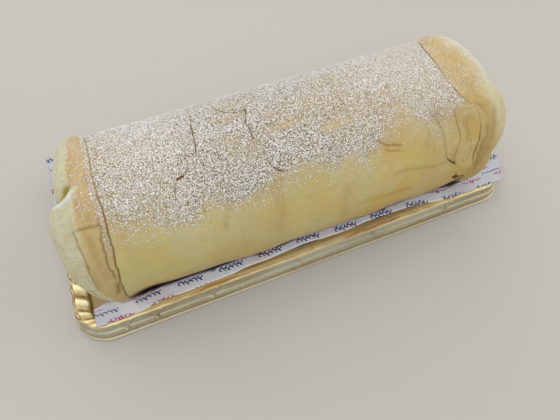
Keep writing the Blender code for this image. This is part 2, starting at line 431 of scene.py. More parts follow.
class Value:
    """A number socket with Python's arithmetic: each operation adds one Math node."""

    def __init__(self, tree: bpy.types.NodeTree, socket: bpy.types.NodeSocket) -> None:
        """Wrap a socket of a node tree."""
        self.tree = tree
        self.socket = socket

    def math(self, operation: str, *others: "Value | float", flipped: bool = False) -> "Value":
        """Add a Math node that works on this value and others.

        Args:
            operation: The node's operation.
            others: The other inputs.
            flipped: Whether this value comes second.

        Returns:
            The node's output.
        """
        node = self.tree.nodes.new("ShaderNodeMath")
        node.operation = operation
        inputs = [*others, self] if flipped else [self, *others]
        for socket, value in zip(node.inputs, inputs):
            if isinstance(value, Value):
                self.tree.links.new(value.socket, socket)
            else:
                socket.default_value = value
        return Value(self.tree, node.outputs[0])

    def __add__(self, other: "Value | float") -> "Value":
        """Add."""
        return self.math("ADD", other)

    def __sub__(self, other: "Value | float") -> "Value":
        """Subtract."""
        return self.math("SUBTRACT", other)

    def __rsub__(self, other: float) -> "Value":
        """Subtract this from a number."""
        return self.math("SUBTRACT", other, flipped=True)

    def __mul__(self, other: "Value | float") -> "Value":
        """Multiply."""
        return self.math("MULTIPLY", other)

    def __abs__(self) -> "Value":
        """Drop the sign."""
        return self.math("ABSOLUTE")

    __radd__ = __add__
    __rmul__ = __mul__

    def least(self, other: "Value | float") -> "Value":
        """The smaller of two values."""
        return self.math("MINIMUM", other)

    def most(self, other: "Value | float") -> "Value":
        """The larger of two values."""
        return self.math("MAXIMUM", other)

    def wrap(self, period: float) -> "Value":
        """Repeat with a period, as -period/2 to period/2."""
        return self.math("WRAP", -period / 2.0, period / 2.0)

    def clamp(self) -> "Value":
        """Keep between 0 and 1."""
        return self.most(0.0).least(1.0)

    def step(self, low: float, high: float) -> "Value":
        """A straight ramp from 0 at low to 1 at high, kept between them."""
        return ((self - low) * (1.0 / (high - low))).clamp()


class Finish:
    """A material that is being wired, with a Principled shader at its end."""

    def __init__(self, name: str, **constants: object) -> None:
        """Start a material.

        Args:
            name: The material's name.
            constants: Values of the shader's own sockets, with _ for a space.
        """
        self.material = bpy.data.materials.new(name)
        self.material.use_nodes = True
        self.tree = self.material.node_tree
        self.shader = self.tree.nodes["Principled BSDF"]
        for key, value in constants.items():
            self.shader.inputs[key.replace("_", " ")].default_value = value
        self.place = self.node("ShaderNodeTexCoord").outputs["Object"]

    def node(self, kind: str, settings: dict[str, object] | None = None, **values: object) -> bpy.types.Node:
        """Add any node but a Math node.

        Args:
            kind: The node's type.
            settings: Its properties, set before its sockets.
            values: Numbers, colours, sockets or Values for its inputs, by name with _ for a space,
                or by place as in0, in1 and so on.

        Returns:
            The new node.
        """
        node = self.tree.nodes.new(kind)
        for key, setting in (settings or {}).items():
            setattr(node, key, setting)
        for key, value in values.items():
            place = key[2:]
            socket = node.inputs[int(place)] if place.isdigit() else node.inputs[key.replace("_", " ")]
            if isinstance(value, Value):
                value = value.socket
            if isinstance(value, bpy.types.NodeSocket):
                self.tree.links.new(value, socket)
            else:
                socket.default_value = value
        return node

    def field(self, name: str) -> Value:
        """A number that the mesh keeps for each vertex."""
        node = self.node("ShaderNodeAttribute", {"attribute_name": name})
        return Value(self.tree, node.outputs["Fac"])

    def noise(self, size: float, detail: float = 2.0, stretch: Triple = (1.0, 1.0, 1.0)) -> Value:
        """Noise from 0 to 1 over the object's own space.

        Args:
            size: How wide its features are, in metres.
            detail: Its finer layers.
            stretch: A factor for each axis, above 1 for narrower features.

        Returns:
            The noise.
        """
        place = self.node("ShaderNodeVectorMath", {"operation": "MULTIPLY"}, in0=self.place, in1=stretch)
        node = self.node("ShaderNodeTexNoise", Vector=place.outputs[0], Scale=1.0 / size, Detail=detail)
        return Value(self.tree, node.outputs["Fac"])

    def blend(self, factor: "Value | float", low: object, high: object) -> bpy.types.NodeSocket:
        """Mix two colours.

        Args:
            factor: 0 for low, 1 for high.
            low: A colour or a colour socket.
            high: A colour or a colour socket.

        Returns:
            The mixed colour.
        """
        ends = [(*end, 1.0) if isinstance(end, tuple) else end for end in (low, high)]
        node = self.node("ShaderNodeMix", {"data_type": "RGBA"}, in0=factor, in6=ends[0], in7=ends[1])
        return node.outputs[2]

    def wire(self, **outputs: object) -> bpy.types.Material:
        """Link values to the shader's sockets.

        Args:
            outputs: Values or colour sockets by the shader's input name, and bump as a pair of a
                height Value and its distance in metres.

        Returns:
            The finished material.
        """
        for key, value in outputs.items():
            if key == "bump":
                height, distance = value
                bump = self.node("ShaderNodeBump", Height=height, Distance=distance)
                self.tree.links.new(bump.outputs[0], self.shader.inputs["Normal"])
                continue
            socket = value.socket if isinstance(value, Value) else value
            self.tree.links.new(socket, self.shader.inputs[key.replace("_", " ")])
        return self.material


@dataclass(frozen=True)
class SpongeFinish:
    """Baked sponge with its tan skin, pale crumb and sugar, and painted shade in its creases and underneath.
    """

    name: str = "sponge"
    skin: Colour = (0.642, 0.515, 0.190)
    skin_deep: Colour = (0.642, 0.413, 0.096)
    # Toasted skin; low on the near side it also paints shade.
    toast_and_shade: Colour = (0.560, 0.375, 0.170)
    crumb: Colour = (0.700, 0.605, 0.355)
    crumb_cool: Colour = (0.690, 0.625, 0.420)
    crumb_shade: Colour = (0.555, 0.495, 0.300)
    olive: Colour = (0.590, 0.500, 0.190)
    # Painted shade in the gaps between sugar specks.
    gap: Colour = (0.100, 0.080, 0.050)
    # Painted shade in creases, cracks, laps and joints, and under the roll.
    crease: Colour = (0.210, 0.092, 0.020)
    # Near-black painted shadow in the deepest cracks and gaps.
    crack_shadow: Colour = (0.030, 0.015, 0.008)
    wrinkle: Colour = (0.420, 0.240, 0.070)
    moist: Colour = (0.480, 0.350, 0.015)
    flour: Colour = (0.770, 0.780, 0.730)
    sugar: Colour = (0.960, 0.915, 0.860)
    sugar_cool: Colour = (0.955, 0.945, 0.955)
    film: Colour = (0.800, 0.700, 0.570)
    speck: float = 0.00062

    def build(self) -> bpy.types.Material:
        """Wire the material.

        Returns:
            A material that reads six fields: dust, crumb, moist, flour, the painted crease shade, and
            the toast with painted shade low on the near side.
        """
        finish = Finish(self.name, Specular_IOR_Level=0.25, Subsurface_Weight=0.0)
        dust = finish.field("dust")
        crease = finish.field("crease")
        crumb = finish.field("crumb")
        toast_and_shade = finish.field("toast_and_shade")
        split = finish.node("ShaderNodeSeparateXYZ", in0=finish.place)
        along = Value(finish.tree, split.outputs["X"])
        across = Value(finish.tree, split.outputs["Y"])
        broad = finish.noise(0.022, 2.0, (0.8, 0.5, 0.5)).step(0.38, 0.66) * 0.30
        broad = broad + along.step(-0.04, 0.045) * 0.70
        mottle = finish.noise(0.0032, 3.0)
        pores = finish.noise(0.0007, 2.0)
        streak = finish.noise(0.017, 2.0, (1.0, 0.45, 0.45)).step(0.42, 0.60)
        bare = finish.blend(broad, self.skin, self.skin_deep)
        colour = finish.blend(streak * (0.55 - along.step(0.0, 0.08) * 0.2), bare, self.olive)
        colour = finish.blend((toast_and_shade + (mottle - 0.5) * 0.9 * toast_and_shade).clamp(), colour, self.toast_and_shade)
        grain = finish.noise(0.0024, 3.0, (1.0, 0.16, 0.16)).step(0.48, 0.72)
        colour = finish.blend(toast_and_shade * grain * 0.55, colour, self.wrinkle)
        edge = (crumb + (mottle - 0.5) * 0.9 * (1.0 - abs(crumb * 2.0 - 1.0))).clamp()
        cooler = finish.noise(0.0075, 3.0, (1.0, 0.6, 0.6)).step(0.38, 0.62)
        pale = finish.blend(cooler, self.crumb, self.crumb_cool)
        colour = finish.blend(edge, colour, pale)
        shaded = mottle.step(0.62, 0.35) * 0.45 + grain * 0.45
        colour = finish.blend(crumb * shaded, colour, self.crumb_shade)
        lights = mottle.step(0.3, 0.75) * 0.10 + pores.step(0.45, 0.8) * 0.10
        colour = finish.blend(lights, colour, tuple(min(c * 1.25, 1.0) for c in self.crumb))
        # Painted shade in creases, cracks, laps, joints and under the roll.
        colour = finish.blend((crease * 0.95).clamp(), colour, self.crease)
        # Near-black painted shadow where the crease shade runs deepest.
        colour = finish.blend(crease.step(0.80, 1.25) * 0.85, colour, self.crack_shadow)
        colour = finish.blend((finish.field("moist") * 0.9).clamp(), colour, self.moist)
        colour = finish.blend((finish.field("flour") * (0.6 + mottle * 0.6)).clamp(), colour, self.flour)
        clear = (1.0 - crease * 1.2).clamp()
        cloud = finish.noise(0.009, 3.0).step(0.34, 0.66)
        cool = across.step(-0.004, 0.026)
        film = dust * dust * (0.30 + cloud * 0.24)
        colour = finish.blend(film * clear, colour, finish.blend(cool * 0.7, self.film, self.sugar_cool))
        speck = finish.noise(self.speck, 1.0) * 0.9 + finish.noise(self.speck * 3.3, 1.0) * 0.1
        middle = along.step(-0.075, -0.045) * along.step(0.045, 0.005)
        thin = along.step(0.040, 0.080)
        # Painted shade in the gaps between the sugar specks.
        speck_gap_shade = (0.468 + middle * 0.014 - speck).step(0.0, 0.040) * dust.step(0.25, 0.85) * clear
        level = 0.640 - dust * 0.130 + thin * 0.022
        sugar = (speck - level).step(0.0, 0.030) * dust.step(0.0, 0.06) * clear
        colour = finish.blend(speck_gap_shade * (0.66 + middle * 0.22 - thin * 0.14), colour, self.gap)
        colour = finish.blend(sugar * 0.97, colour, finish.blend(cool, self.sugar, self.sugar_cool))
        height = mottle * 0.35 + pores * (0.24 + crumb * 0.4) + sugar * 0.55
        height = height - grain * (toast_and_shade + crumb).least(1.0) * 0.30
        rough = 0.80 + sugar * 0.15
        return finish.wire(Base_Color=colour, Roughness=rough, bump=(height, 0.00060))


@dataclass(frozen=True)
class SugarFinish:
    """Loose powdered sugar."""

    white: Colour = (0.955, 0.930, 0.910)
    shade: Colour = (0.860, 0.810, 0.760)

    def build(self) -> bpy.types.Material:
        """Wire the material.

        Returns:
            The material.
        """
        finish = Finish("powdered_sugar", Roughness=0.9, Specular_IOR_Level=0.2)
        tone = finish.noise(0.0016, 2.0).step(0.4, 0.7)
        colour = finish.blend(tone, self.white, self.shade)
        return finish.wire(Base_Color=colour, bump=(finish.noise(0.0003), 0.0001))


@dataclass(frozen=True)
class PaperFinish:
    """White food paper with rows of small blue sprigs and pink blossoms."""

    paper: Colour = (0.950, 0.940, 0.965)
    rosy: Colour = (0.950, 0.850, 0.850)
    # Painted shade that dims the paper away from the bright strip beside the cake.
    painted_dimming: Colour = (0.490, 0.480, 0.510)
    blue: Colour = (0.013, 0.032, 0.170)
    pink: Colour = (0.400, 0.038, 0.125)
    # Near-black painted contact shadow under the cake's edge.
    contact_shadow: Colour = (0.030, 0.018, 0.010)
    row: float = 7.2
    pitch: float = 26.0
    slope: float = 0.035

    def ellipse(self, x: Value, y: Value, turn: float, long: float, short: float) -> Value:
        """1 inside a turned ellipse, 0 outside.

        Args:
            x: Millimetres from its centre along the row.
            y: Millimetres from its centre across the row.
            turn: How far it is turned, in degrees.
            long: Half its length.
            short: Half its width.

        Returns:
            The mask.
        """
        c = math.cos(math.radians(turn))
        s = math.sin(math.radians(turn))
        a = (x * c + y * s) * (1.0 / long)
        b = (y * c - x * s) * (1.0 / short)
        return (a * a + b * b).step(1.15, 0.85)

    def sprig(self, x: Value, y: Value) -> Value:
        """Draw a thin winding stem with leaves and berries on both sides.

        Args:
            x: Millimetres from its middle along the row.
            y: Millimetres from its middle across the row.

        Returns:
            The mask.
        """
        within = abs(x).step(8.0, 7.5)
        bow = (x * 0.8).math("SINE") * 0.55
        stem = abs(y - bow).step(0.46, 0.26)
        upper = self.ellipse((x + 0.4).wrap(2.7), y - bow - 1.05, 58.0, 1.40, 0.46)
        lower = self.ellipse((x - 0.9).wrap(2.7), y - bow + 1.05, -52.0, 1.35, 0.44)
        berry = self.ellipse((x + 1.6).wrap(5.4), y - 1.9, 0.0, 0.46, 0.46)
        return stem.most(upper).most(lower).most(berry) * within

    def blossom(self, x: Value, y: Value) -> Value:
        """Draw a small five-petalled flower between curled tendrils.

        Args:
            x: Millimetres from its middle along the row.
            y: Millimetres from its middle across the row.

        Returns:
            The mask.
        """
        radius = (x * x + y * y).math("SQRT")
        petals = abs((y.math("ARCTAN2", x) * 2.5).math("COSINE"))
        flower = (radius - petals * 0.95).step(1.10, 0.85) * radius.step(0.30, 0.50)
        away = abs(x)
        curl = abs(y - (away * 1.15).math("SINE") * (8.5 - away) * 0.15).step(0.46, 0.26)
        curl = curl * away.step(1.7, 1.9) * away.step(8.2, 7.8)
        leaves = self.ellipse((away - 3.0).wrap(2.4), y - 1.0, 35.0, 1.00, 0.38)
        leaves = leaves * away.step(1.9, 2.1) * away.step(7.2, 7.0)
        return flower.most(curl).most(leaves)

    def build(self) -> bpy.types.Material:
        """Wire the material, which reads the sheet's own UV map in millimetres.

        Returns:
            A material that also reads two fields of painted shade: the dimming away from the strip
            beside the cake, and the contact shadow under the cake's edge.
        """
        finish = Finish("printed_paper", Roughness=0.42, Specular_IOR_Level=0.45)
        place = finish.node("ShaderNodeUVMap", {"uv_map": "sheet"}).outputs["UV"]
        split = finish.node("ShaderNodeSeparateXYZ", in0=place)
        along = Value(finish.tree, split.outputs["X"])
        across = Value(finish.tree, split.outputs["Y"])
        level = across + along * self.slope
        row = (level * (1.0 / self.row)).math("FLOOR")
        odd = (row * 0.5).math("FRACT") * 2.0
        x = (along + row * (self.pitch * 0.31)).wrap(self.pitch)
        y = level - (row + 0.5) * self.row
        blue = self.sprig(x, y) * (1.0 - odd)
        pink = self.blossom(x, y) * odd
        wear = finish.noise(0.0012, 2.0).step(0.25, 0.5) * 0.15 + 0.85
        fibre = finish.noise(0.006, 3.0).step(0.3, 0.7)
        tint = finish.noise(0.022, 2.0).step(0.42, 0.60)
        colour = finish.blend(tint, self.paper, self.rosy)
        colour = finish.blend(fibre * 0.5, colour, tuple(c * 0.88 for c in self.paper))
        # Painted shade: dim the paper away from the strip beside the cake.
        colour = finish.blend(finish.field("painted_dimming") * 0.85, colour, self.painted_dimming)
        colour = finish.blend(blue * wear, colour, self.blue)
        colour = finish.blend(pink * wear, colour, self.pink)
        # Painted contact shadow under the cake's edge.
        colour = finish.blend(finish.field("contact_shadow") * 0.96, colour, self.contact_shadow)
        return finish.wire(Base_Color=colour, bump=(finish.noise(0.0035, 3.0), 0.00025))


@dataclass(frozen=True)
class GoldPlasticFinish:
    """Gold-tinted film plastic, with painted reflections and highlights, and painted shade in its creases and
    hollows.
    """

    # Pale film, its colour partly a painted reflection of the pale surroundings; streaky is its darker
    # painted reflection.
    light: Colour = (0.540, 0.500, 0.340)
    streaky: Colour = (0.310, 0.240, 0.110)
    deep: Colour = (0.960, 0.730, 0.340)
    # Painted shade in the film's creases and beside each crimp.
    line: Colour = (0.300, 0.160, 0.045)
    # Painted highlight stripes along the gold band.
    orange: Colour = (0.620, 0.340, 0.100)
    # Painted highlight on the end flutes.
    flute_highlight: Colour = (0.930, 0.860, 0.560)
    # Painted shade and reflection of the cake's underside on the floor and inner walls.
    floor: Colour = (0.300, 0.185, 0.055)
    # Emission colour that makes the flute highlights glow.
    glow: Colour = (0.820, 0.760, 0.460)

    def build(self) -> bpy.types.Material:
        """Wire the material.

        Returns:
            A material that reads the fields for the gold band, the painted shade lines, the painted
            flute highlights and the painted shade of the floor.
        """
        # Emission strength 1 lets the painted flute highlights glow.
        finish = Finish("gold_plastic", Specular_IOR_Level=0.6, Coat_Roughness=0.08, Emission_Strength=1.0)
        gold = finish.field("gold")
        cloud = finish.noise(0.012, 2.0).step(0.35, 0.7)
        # Painted reflections: long lighter and darker streaks along the tray.
        streak = finish.noise(0.0055, 3.0, (0.10, 1.0, 1.2)).step(0.44, 0.66)
        colour = finish.blend(streak * 0.75, self.light, self.streaky)
        colour = finish.blend((gold + cloud * 0.10).clamp(), colour, self.deep)
        # Painted orange highlight stripes along the gold band.
        stripe = finish.noise(0.0024, 1.0, (0.06, 1.0, 1.0)).step(0.48, 0.60)
        colour = finish.blend(gold * stripe * 0.85, colour, self.orange)
        # Painted shade lines in the creases and beside the crimps.
        colour = finish.blend((finish.field("line") * 0.9).clamp(), colour, self.line)
        # Painted, glowing highlights on the end flutes.
        flute_highlight = finish.field("flute_highlight")
        colour = finish.blend(flute_highlight, colour, self.flute_highlight)
        # Painted shade on the floor and the inner walls under the cake.
        colour = finish.blend(finish.field("floor"), colour, self.floor)
        smear = finish.noise(0.004, 3.0).step(0.3, 0.75)
        return finish.wire(
            Base_Color=colour,
            Metallic=0.20 + gold * 0.05,
            Roughness=0.18 + smear * 0.12,
            Coat_Weight=0.25 + smear * 0.1,
            Emission_Color=finish.blend(flute_highlight, (0.0, 0.0, 0.0), self.glow),
            bump=(finish.noise(0.006, 2.0), 0.0003),
        )


# ---------------------------------------------------------------- the cake's form


@dataclass(frozen=True)
class Section:
    """The roll's cross-section: round above, fuller below, flat where it rests."""

    half_width: float = 0.0463
    rise: float = 0.0462
    drop: float = 0.0476
    lower_power: float = 2.15
    axis_y: float = 0.0004
    axis_z: float = 0.0483
    rest_z: float = 0.0017

    def at(self, angle: Array, factor: Array | float) -> tuple[Array, Array]:
        """Find a point on or inside the section.

        Args:
            angle: Degrees round the roll.
            factor: 1 at the surface, 0 on the axis.

        Returns:
            Its Y and its Z.
        """
        c = np.cos(np.radians(angle))
        s = np.sin(np.radians(angle))
        n = self.lower_power
        k = (np.abs(c) ** n + np.abs(s) ** n) ** (-1.0 / n)
        y = np.where(s >= 0.0, self.half_width * c, self.half_width * c * k)
        z = np.where(s >= 0.0, self.rise * s, self.drop * s * k)
        return self.axis_y + y * factor, self.axis_z + np.maximum(z * factor, self.rest_z - self.axis_z)


SECTION = Section()


class Side(Enum):
    """Which end of the roll a piece is at: the sign of its X."""

    LEFT = -1.0
    RIGHT = 1.0


@dataclass(frozen=True)
class Joint:
    """A line round the roll where the main sponge meets a folded end.

    Each table is (degrees round, number) points, and the line's numbers are millimetres along.
    """

    line: Points
    centre: float
    # How strong the painted shade along the joint is, round the roll.
    shades: Points
    grooves: Points
    seed: int
    wander: float = 0.0006
    shade_width: float = 0.0004

    def at(self, angle: Array, factor: Array | float) -> Array:
        """Find X of the joint's face: its line at the skin, flatter towards the axis.

        Args:
            angle: Degrees round the roll.
            factor: 1 at the surface, 0 on the axis.

        Returns:
            X at each point.
        """
        angles, places = zip(*self.line)
        turned = np.mod(angle, 360.0)
        x = np.interp(turned, angles, np.array(places) * MM)
        turn = np.radians(turned)
        circle = np.stack([np.cos(turn), np.sin(turn), np.zeros(len(turn))], axis=1)
        x = x + self.wander * layered_noise(circle, 0.09, 3, self.seed)
        return self.centre + (x - self.centre) * np.asarray(factor) ** 2

    def shade(self, away: Array, angle: Array) -> Array:
        """How much painted shade lies on the skin, some metres away from the joint."""
        angles, shades = zip(*self.shades)
        return np.interp(np.mod(angle, 360.0), angles, shades) * np.exp(-((away / self.shade_width) ** 2))

    def groove(self, angle: Array) -> Array:
        """How deep the groove along the joint is, from 0 to 1."""
        angles, depths = zip(*self.grooves)
        return np.interp(np.mod(angle, 360.0), angles, depths)


JOINTS = {
    Side.LEFT: Joint(
        line=(
            (0, -109.5), (40, -105.0), (57, -102.4), (73, -101.0), (96, -101.3), (116, -101.4),
            (126, -101.6), (131, -102.1), (136, -102.6), (144, -103.5), (153, -105.0), (163, -106.5),
            (177, -108.7), (200, -110.3), (360, -109.5),
        ),
        centre=-0.1075,
        shades=((0, 0.45), (60, 0.35), (98, 0.38), (112, 0.70), (122, 0.90), (180, 0.85), (200, 1.05),
                (300, 0.5), (360, 0.45)),
        grooves=((0, 0.6), (50, 0.12), (106, 0.10), (124, 0.75), (180, 1.0), (300, 1.0), (360, 0.6)),
        seed=71,
    ),
    Side.RIGHT: Joint(
        line=(
            (0, 104.5), (40, 101.5), (58, 95.5), (72, 90.6), (84, 89.2), (98, 89.2), (106, 89.8),
            (112, 91.2), (119, 93.6), (125, 96.8), (129.5, 99.8), (134, 101.3), (142, 101.8),
            (150, 101.8), (160, 100.6), (167, 100.2), (176, 101.5), (186, 103.2), (196, 104.3),
            (220, 104.5), (360, 104.5),
        ),
        centre=0.1035,
        shades=(
            (0, 0.3), (50, 0.9), (70, 1.1), (80, 1.0), (90, 0.6), (98, 0.35), (126, 0.2), (145, 0.25),
            (152, 0.8), (172, 0.8), (182, 0.5), (200, 0.8), (360, 0.3),
        ),
        grooves=((0, 0.6), (45, 0.6), (88, 0.7), (100, 0.25), (126, 0.15), (140, 0.4), (154, 1.0),
                 (300, 1.0), (360, 0.6)),
        seed=72,
    ),
}

# Where the sponge sags most, and how far round that reaches, in degrees.
SAG_ANGLE = 205.0
SAG_SPREAD = 45.0
SAG: Points = (
    (-135, 0.4), (-113, 0.6), (-109, -0.8), (-104, -2.0), (-99, -2.5), (-93, -2.2), (-87, -1.7),
    (-76, -1.4), (-62, -1.2), (-54, -1.0), (-48, -0.4), (-41, 0.1), (-28, 0.6), (-17, -0.2), (-6, -0.1),
    (5, 0.3), (11, 0.6), (25, 0.2), (35, 0.9), (50, 0.3), (60, 0.0), (67, 0.6), (81, 0.7), (88, 0.4),
    (95, -0.6), (101, -1.2), (108, 0.2), (113, 0.6), (120, -0.5),
)


def swell(x: Array, angle: Array) -> Array:
    """Work out the sponge's slow unevenness and its sag low on the near side.

    Args:
        x: Metres along the roll.
        angle: Degrees round it.

    Returns:
        Metres of radius at each point.
    """
    c = 1.4 * np.cos(np.radians(angle))
    s = 1.4 * np.sin(np.radians(angle))
    places = np.stack([x * 22.0, c, s], axis=1)
    slow = np.fromiter((noise.noise(place) for place in places), float, len(places))
    low = bell(angle, SAG_ANGLE, SAG_SPREAD)
    xs, drops = zip(*SAG)
    sag = sum(np.interp(x / MM + shift, xs, drops) for shift in (-3.0, -1.0, 1.0, 3.0)) / 4.0
    return 0.0012 * slow * (1.0 - 0.8 * low) + MM * sag * low


@dataclass
class Cover:
    """Fields over a stretch of sponge, one number for each point."""

    height: Array
    crease: Array
    dust: Array
    crumb: Array
    toast_and_shade: Array
    moist: Array
    flour: Array

    def keep(self, piece: bpy.types.Object) -> None:
        """Store the fields on a piece for its material."""
        for name in ("crease", "dust", "crumb", "toast_and_shade", "moist", "flour"):
            write_field(piece, name, np.clip(getattr(self, name), 0.0, 1.0))


@dataclass
class SpongeRoll:
    """The main sponge between its two joints, cracked on top and pleated by the right joint."""

    columns: int = 232
    face_columns: int = 5
    rows: int = 296
    edge_round: float = 0.0005
    edge_crowd: float = 0.35
    near_border: Points = (
        (-105.0, 124.0), (-99.7, 128.0), (-87.0, 137.0), (-74.0, 143.5), (-61.0, 140.5), (-48.0, 137.0),
        (-35.0, 141.0), (-22.0, 136.5), (-9.0, 135.0), (4.0, 136.5), (17.0, 137.5), (30.0, 140.5),
        (43.0, 134.0), (50.0, 126.0), (56.0, 121.0), (62.0, 123.0), (69.0, 131.0), (82.0, 131.0),
        (90.0, 128.0), (100.0, 126.0),
    )
    border_steps: tuple[Triple, ...] = ((0.33, 0.0, 14.0), (0.37, -5.0, 9.0), (0.30, -19.0, 0.0))
    far_border: float = 24.0
    # Degrees round where the painted contact shade under the roll begins.
    under_from: float = 198.0
    fine_width: float = 1.0
    fine_reach: float = 1.6
    sugar_low: tuple[float, float] = (-0.1005, 20.0)
    sugar_high: tuple[float, float] = (0.1005, 150.0)
    bare_spots: tuple[tuple[float, float, float, float], ...] = (
        (-5.0, 101.8, 10.0, 2.2), (57.9, 117.7, 3.0, 2.6), (-34.0, 100.6, 3.2, 2.4), (-30.0, 84.0, 8.0, 2.0),
        (18.0, 112.0, 7.0, 2.2),
    )
    gusset: Points = ((123, 71.0), (131, 77.5), (143, 79.5), (158, 80.0), (184, 93.0), (203, 105.0))
    folds: tuple[Fold, ...] = (
        Fold(FoldKind.CRACK, ((-47.7, 62.0), (-48.5, 72.0), (-49.8, 82.0), (-50.4, 90.0), (-50.8, 97.0),
                              (-52.8, 106.0)), 0.23, 1.1, 2.5),
        Fold(FoldKind.CRACK, ((-20.0, 76.0), (-21.0, 84.0), (-23.4, 91.5), (-22.6, 99.0), (-23.4, 107.0)),
             0.23, 1.1, 2.5),
        Fold(FoldKind.CRACK, ((-56.9, 110.0), (-61.2, 113.1), (-66.2, 115.3)), 0.42, 1.4, 2.2),
        Fold(FoldKind.CRACK, ((-65.6, 115.0), (-67.6, 121.6), (-68.0, 128.9)), 0.25, 0.9, 1.4),
        Fold(FoldKind.CRACK, ((-35.2, 63.0), (-34.3, 69.8), (-29.2, 78.6), (-24.9, 81.1), (-20.4, 78.3)),
             0.26, 0.7, 1.2),
        Fold(FoldKind.CRACK, ((-21.5, 117.9), (-18.5, 124.1), (-16.3, 127.6), (-12.7, 130.4)), 0.30, 0.8,
             1.2),
        Fold(FoldKind.CRACK, ((12.2, 72.0), (11.3, 81.2)), 0.22, 0.6, 0.80),
        Fold(FoldKind.CRACK, ((27.7, 90.0), (28.7, 99.8), (28.6, 111.8)), 0.22, 0.5, 0.69),
        Fold(FoldKind.CRACK, ((32.7, 123.3), (31.4, 127.5), (30.8, 131.9)), 0.23, 0.5, 0.80),
        Fold(FoldKind.CREASE, ((-53.8, 122.4), (-56.8, 133.6), (-57.4, 142.0)), 0.6, 0.35, 0.35),
        Fold(FoldKind.CREASE, ((-41.1, 123.0), (-42.1, 131.0), (-46.0, 143.0), (-51.1, 158.2)), 1.6, 0.5,
             0.22),
        Fold(FoldKind.CREASE, ((36.0, 128.0), (39.8, 130.6), (44.0, 134.5), (49.4, 136.9), (54.0, 138.0)),
             0.7, 0.5, 0.5),
        Fold(FoldKind.CREASE, ((41.0, 135.0), (46.0, 139.5), (52.0, 141.0)), 0.7, 0.35, 0.3),
        Fold(FoldKind.CREASE, ((-98.3, 122.9), (-95.0, 125.0), (-91.1, 127.2)), 0.7, 0.4, 0.3),
        Fold(FoldKind.CREASE, ((-97.0, 126.5), (-90.0, 130.5), (-84.0, 131.5)), 0.8, 0.4, 0.25),
        Fold(FoldKind.LAP, ((86.0, 161.0), (76.0, 162.5), (63.0, 159.0), (50.0, 155.5), (42.0, 158.0)), 1.6,
             0.5, 0.12),
        Fold(FoldKind.CREASE, ((21.5, 175.0), (39.0, 174.5), (56.0, 177.5), (66.0, 181.0)), 1.8, 0.5, 0.15),
        Fold(FoldKind.LAP, ((71.5, 116.0), (72.8, 124.0), (76.6, 131.6), (77.6, 137.5), (78.2, 143.0),
                            (78.8, 149.0), (79.4, 154.5), (81.1, 160.4), (84.7, 165.2), (88.4, 168.6),
                            (89.2, 176.0), (92.0, 184.0), (96.0, 193.0)),
             0.65, 1.7, 1.8, 6.0),
        Fold(FoldKind.LAP, ((86.0, 124.0), (87.4, 132.0), (88.2, 140.4), (89.3, 146.6), (87.8, 155.2),
                            (87.4, 163.4), (88.4, 170.5)), 0.9, 1.2, 0.95, 4.0),
        Fold(FoldKind.LAP, ((91.0, 133.0), (92.8, 140.6), (93.9, 146.9), (94.3, 155.0)), 0.5, 0.9, 0.9, 3.0),
        Fold(FoldKind.LAP, ((92.0, 132.0), (94.6, 139.9), (95.6, 147.0), (97.6, 158.0), (97.0, 168.0)), 0.6,
             0.8, 0.6, 3.0),
        Fold(FoldKind.CREASE, ((90.0, 180.0), (93.5, 188.0), (98.0, 193.5), (103.5, 194.0)), 1.1, 2.4, 3.4),
        Fold(FoldKind.CREASE, ((93.8, 168.5), (95.0, 171.0)), 0.7, 0.4, 0.4),
        Fold(FoldKind.CREASE, ((99.0, 178.0), (100.2, 181.0)), 0.8, 0.5, 0.5),
        Fold(FoldKind.CREASE, ((70.5, 132.5), (68.0, 140.0), (67.0, 148.0)), 1.2, 0.3, 0.2),
        Fold(FoldKind.CREASE, ((-18.0, 128.0), (-20.0, 143.0), (-19.0, 158.0), (-24.0, 176.0)), 3.0, 0.4,
             0.12),
        Fold(FoldKind.CREASE, ((20.0, 150.0), (17.0, 165.0), (18.0, 190.0)), 3.0, 0.45, 0.12),
    )
    nub: tuple[float, float, float, float] = (96.5, 178.5, 5.5, 0.0020)

    def span(self, angle: Array) -> tuple[Array, Array]:
        """X of the sponge's left and right edges at each angle."""
        return JOINTS[Side.LEFT].at(angle, 1.0) + HALF_GAP, JOINTS[Side.RIGHT].at(angle, 1.0) - HALF_GAP

    def cover(self, x: Array, angle: Array) -> Cover:
        """Work out the relief and the looks of the outer surface.

        Args:
            x: Metres along the roll.
            angle: Degrees round it.

        Returns:
            The fields at each point.
        """
        y, z = SECTION.at(angle, 1.0)
        places = np.stack([x, y, z], axis=1)
        low, high = self.span(angle)
        height, masks = add_folds(self.folds, x / MM, angle, RADIUS_MM)
        crease = masks["crease"]
        height += swell(x, angle) - self.gusset_sink(x, angle)
        nub_x, nub_angle, nub_size, nub_height = self.nub
        away = np.hypot(x / MM - nub_x, (angle - nub_angle) * math.radians(1.0) * RADIUS_MM)
        height += nub_height * np.exp(-((away / nub_size) ** 2))
        height += 0.00022 * layered_noise(places * (0.45, 1.0, 1.0), 0.009, 3, 11)
        height += 0.00010 * layered_noise(places, 0.0028, 2, 12)
        dust = self.dusting(x, angle, places)
        height += dust * 0.00016 * layered_noise(places, 0.0020, 2, 13)
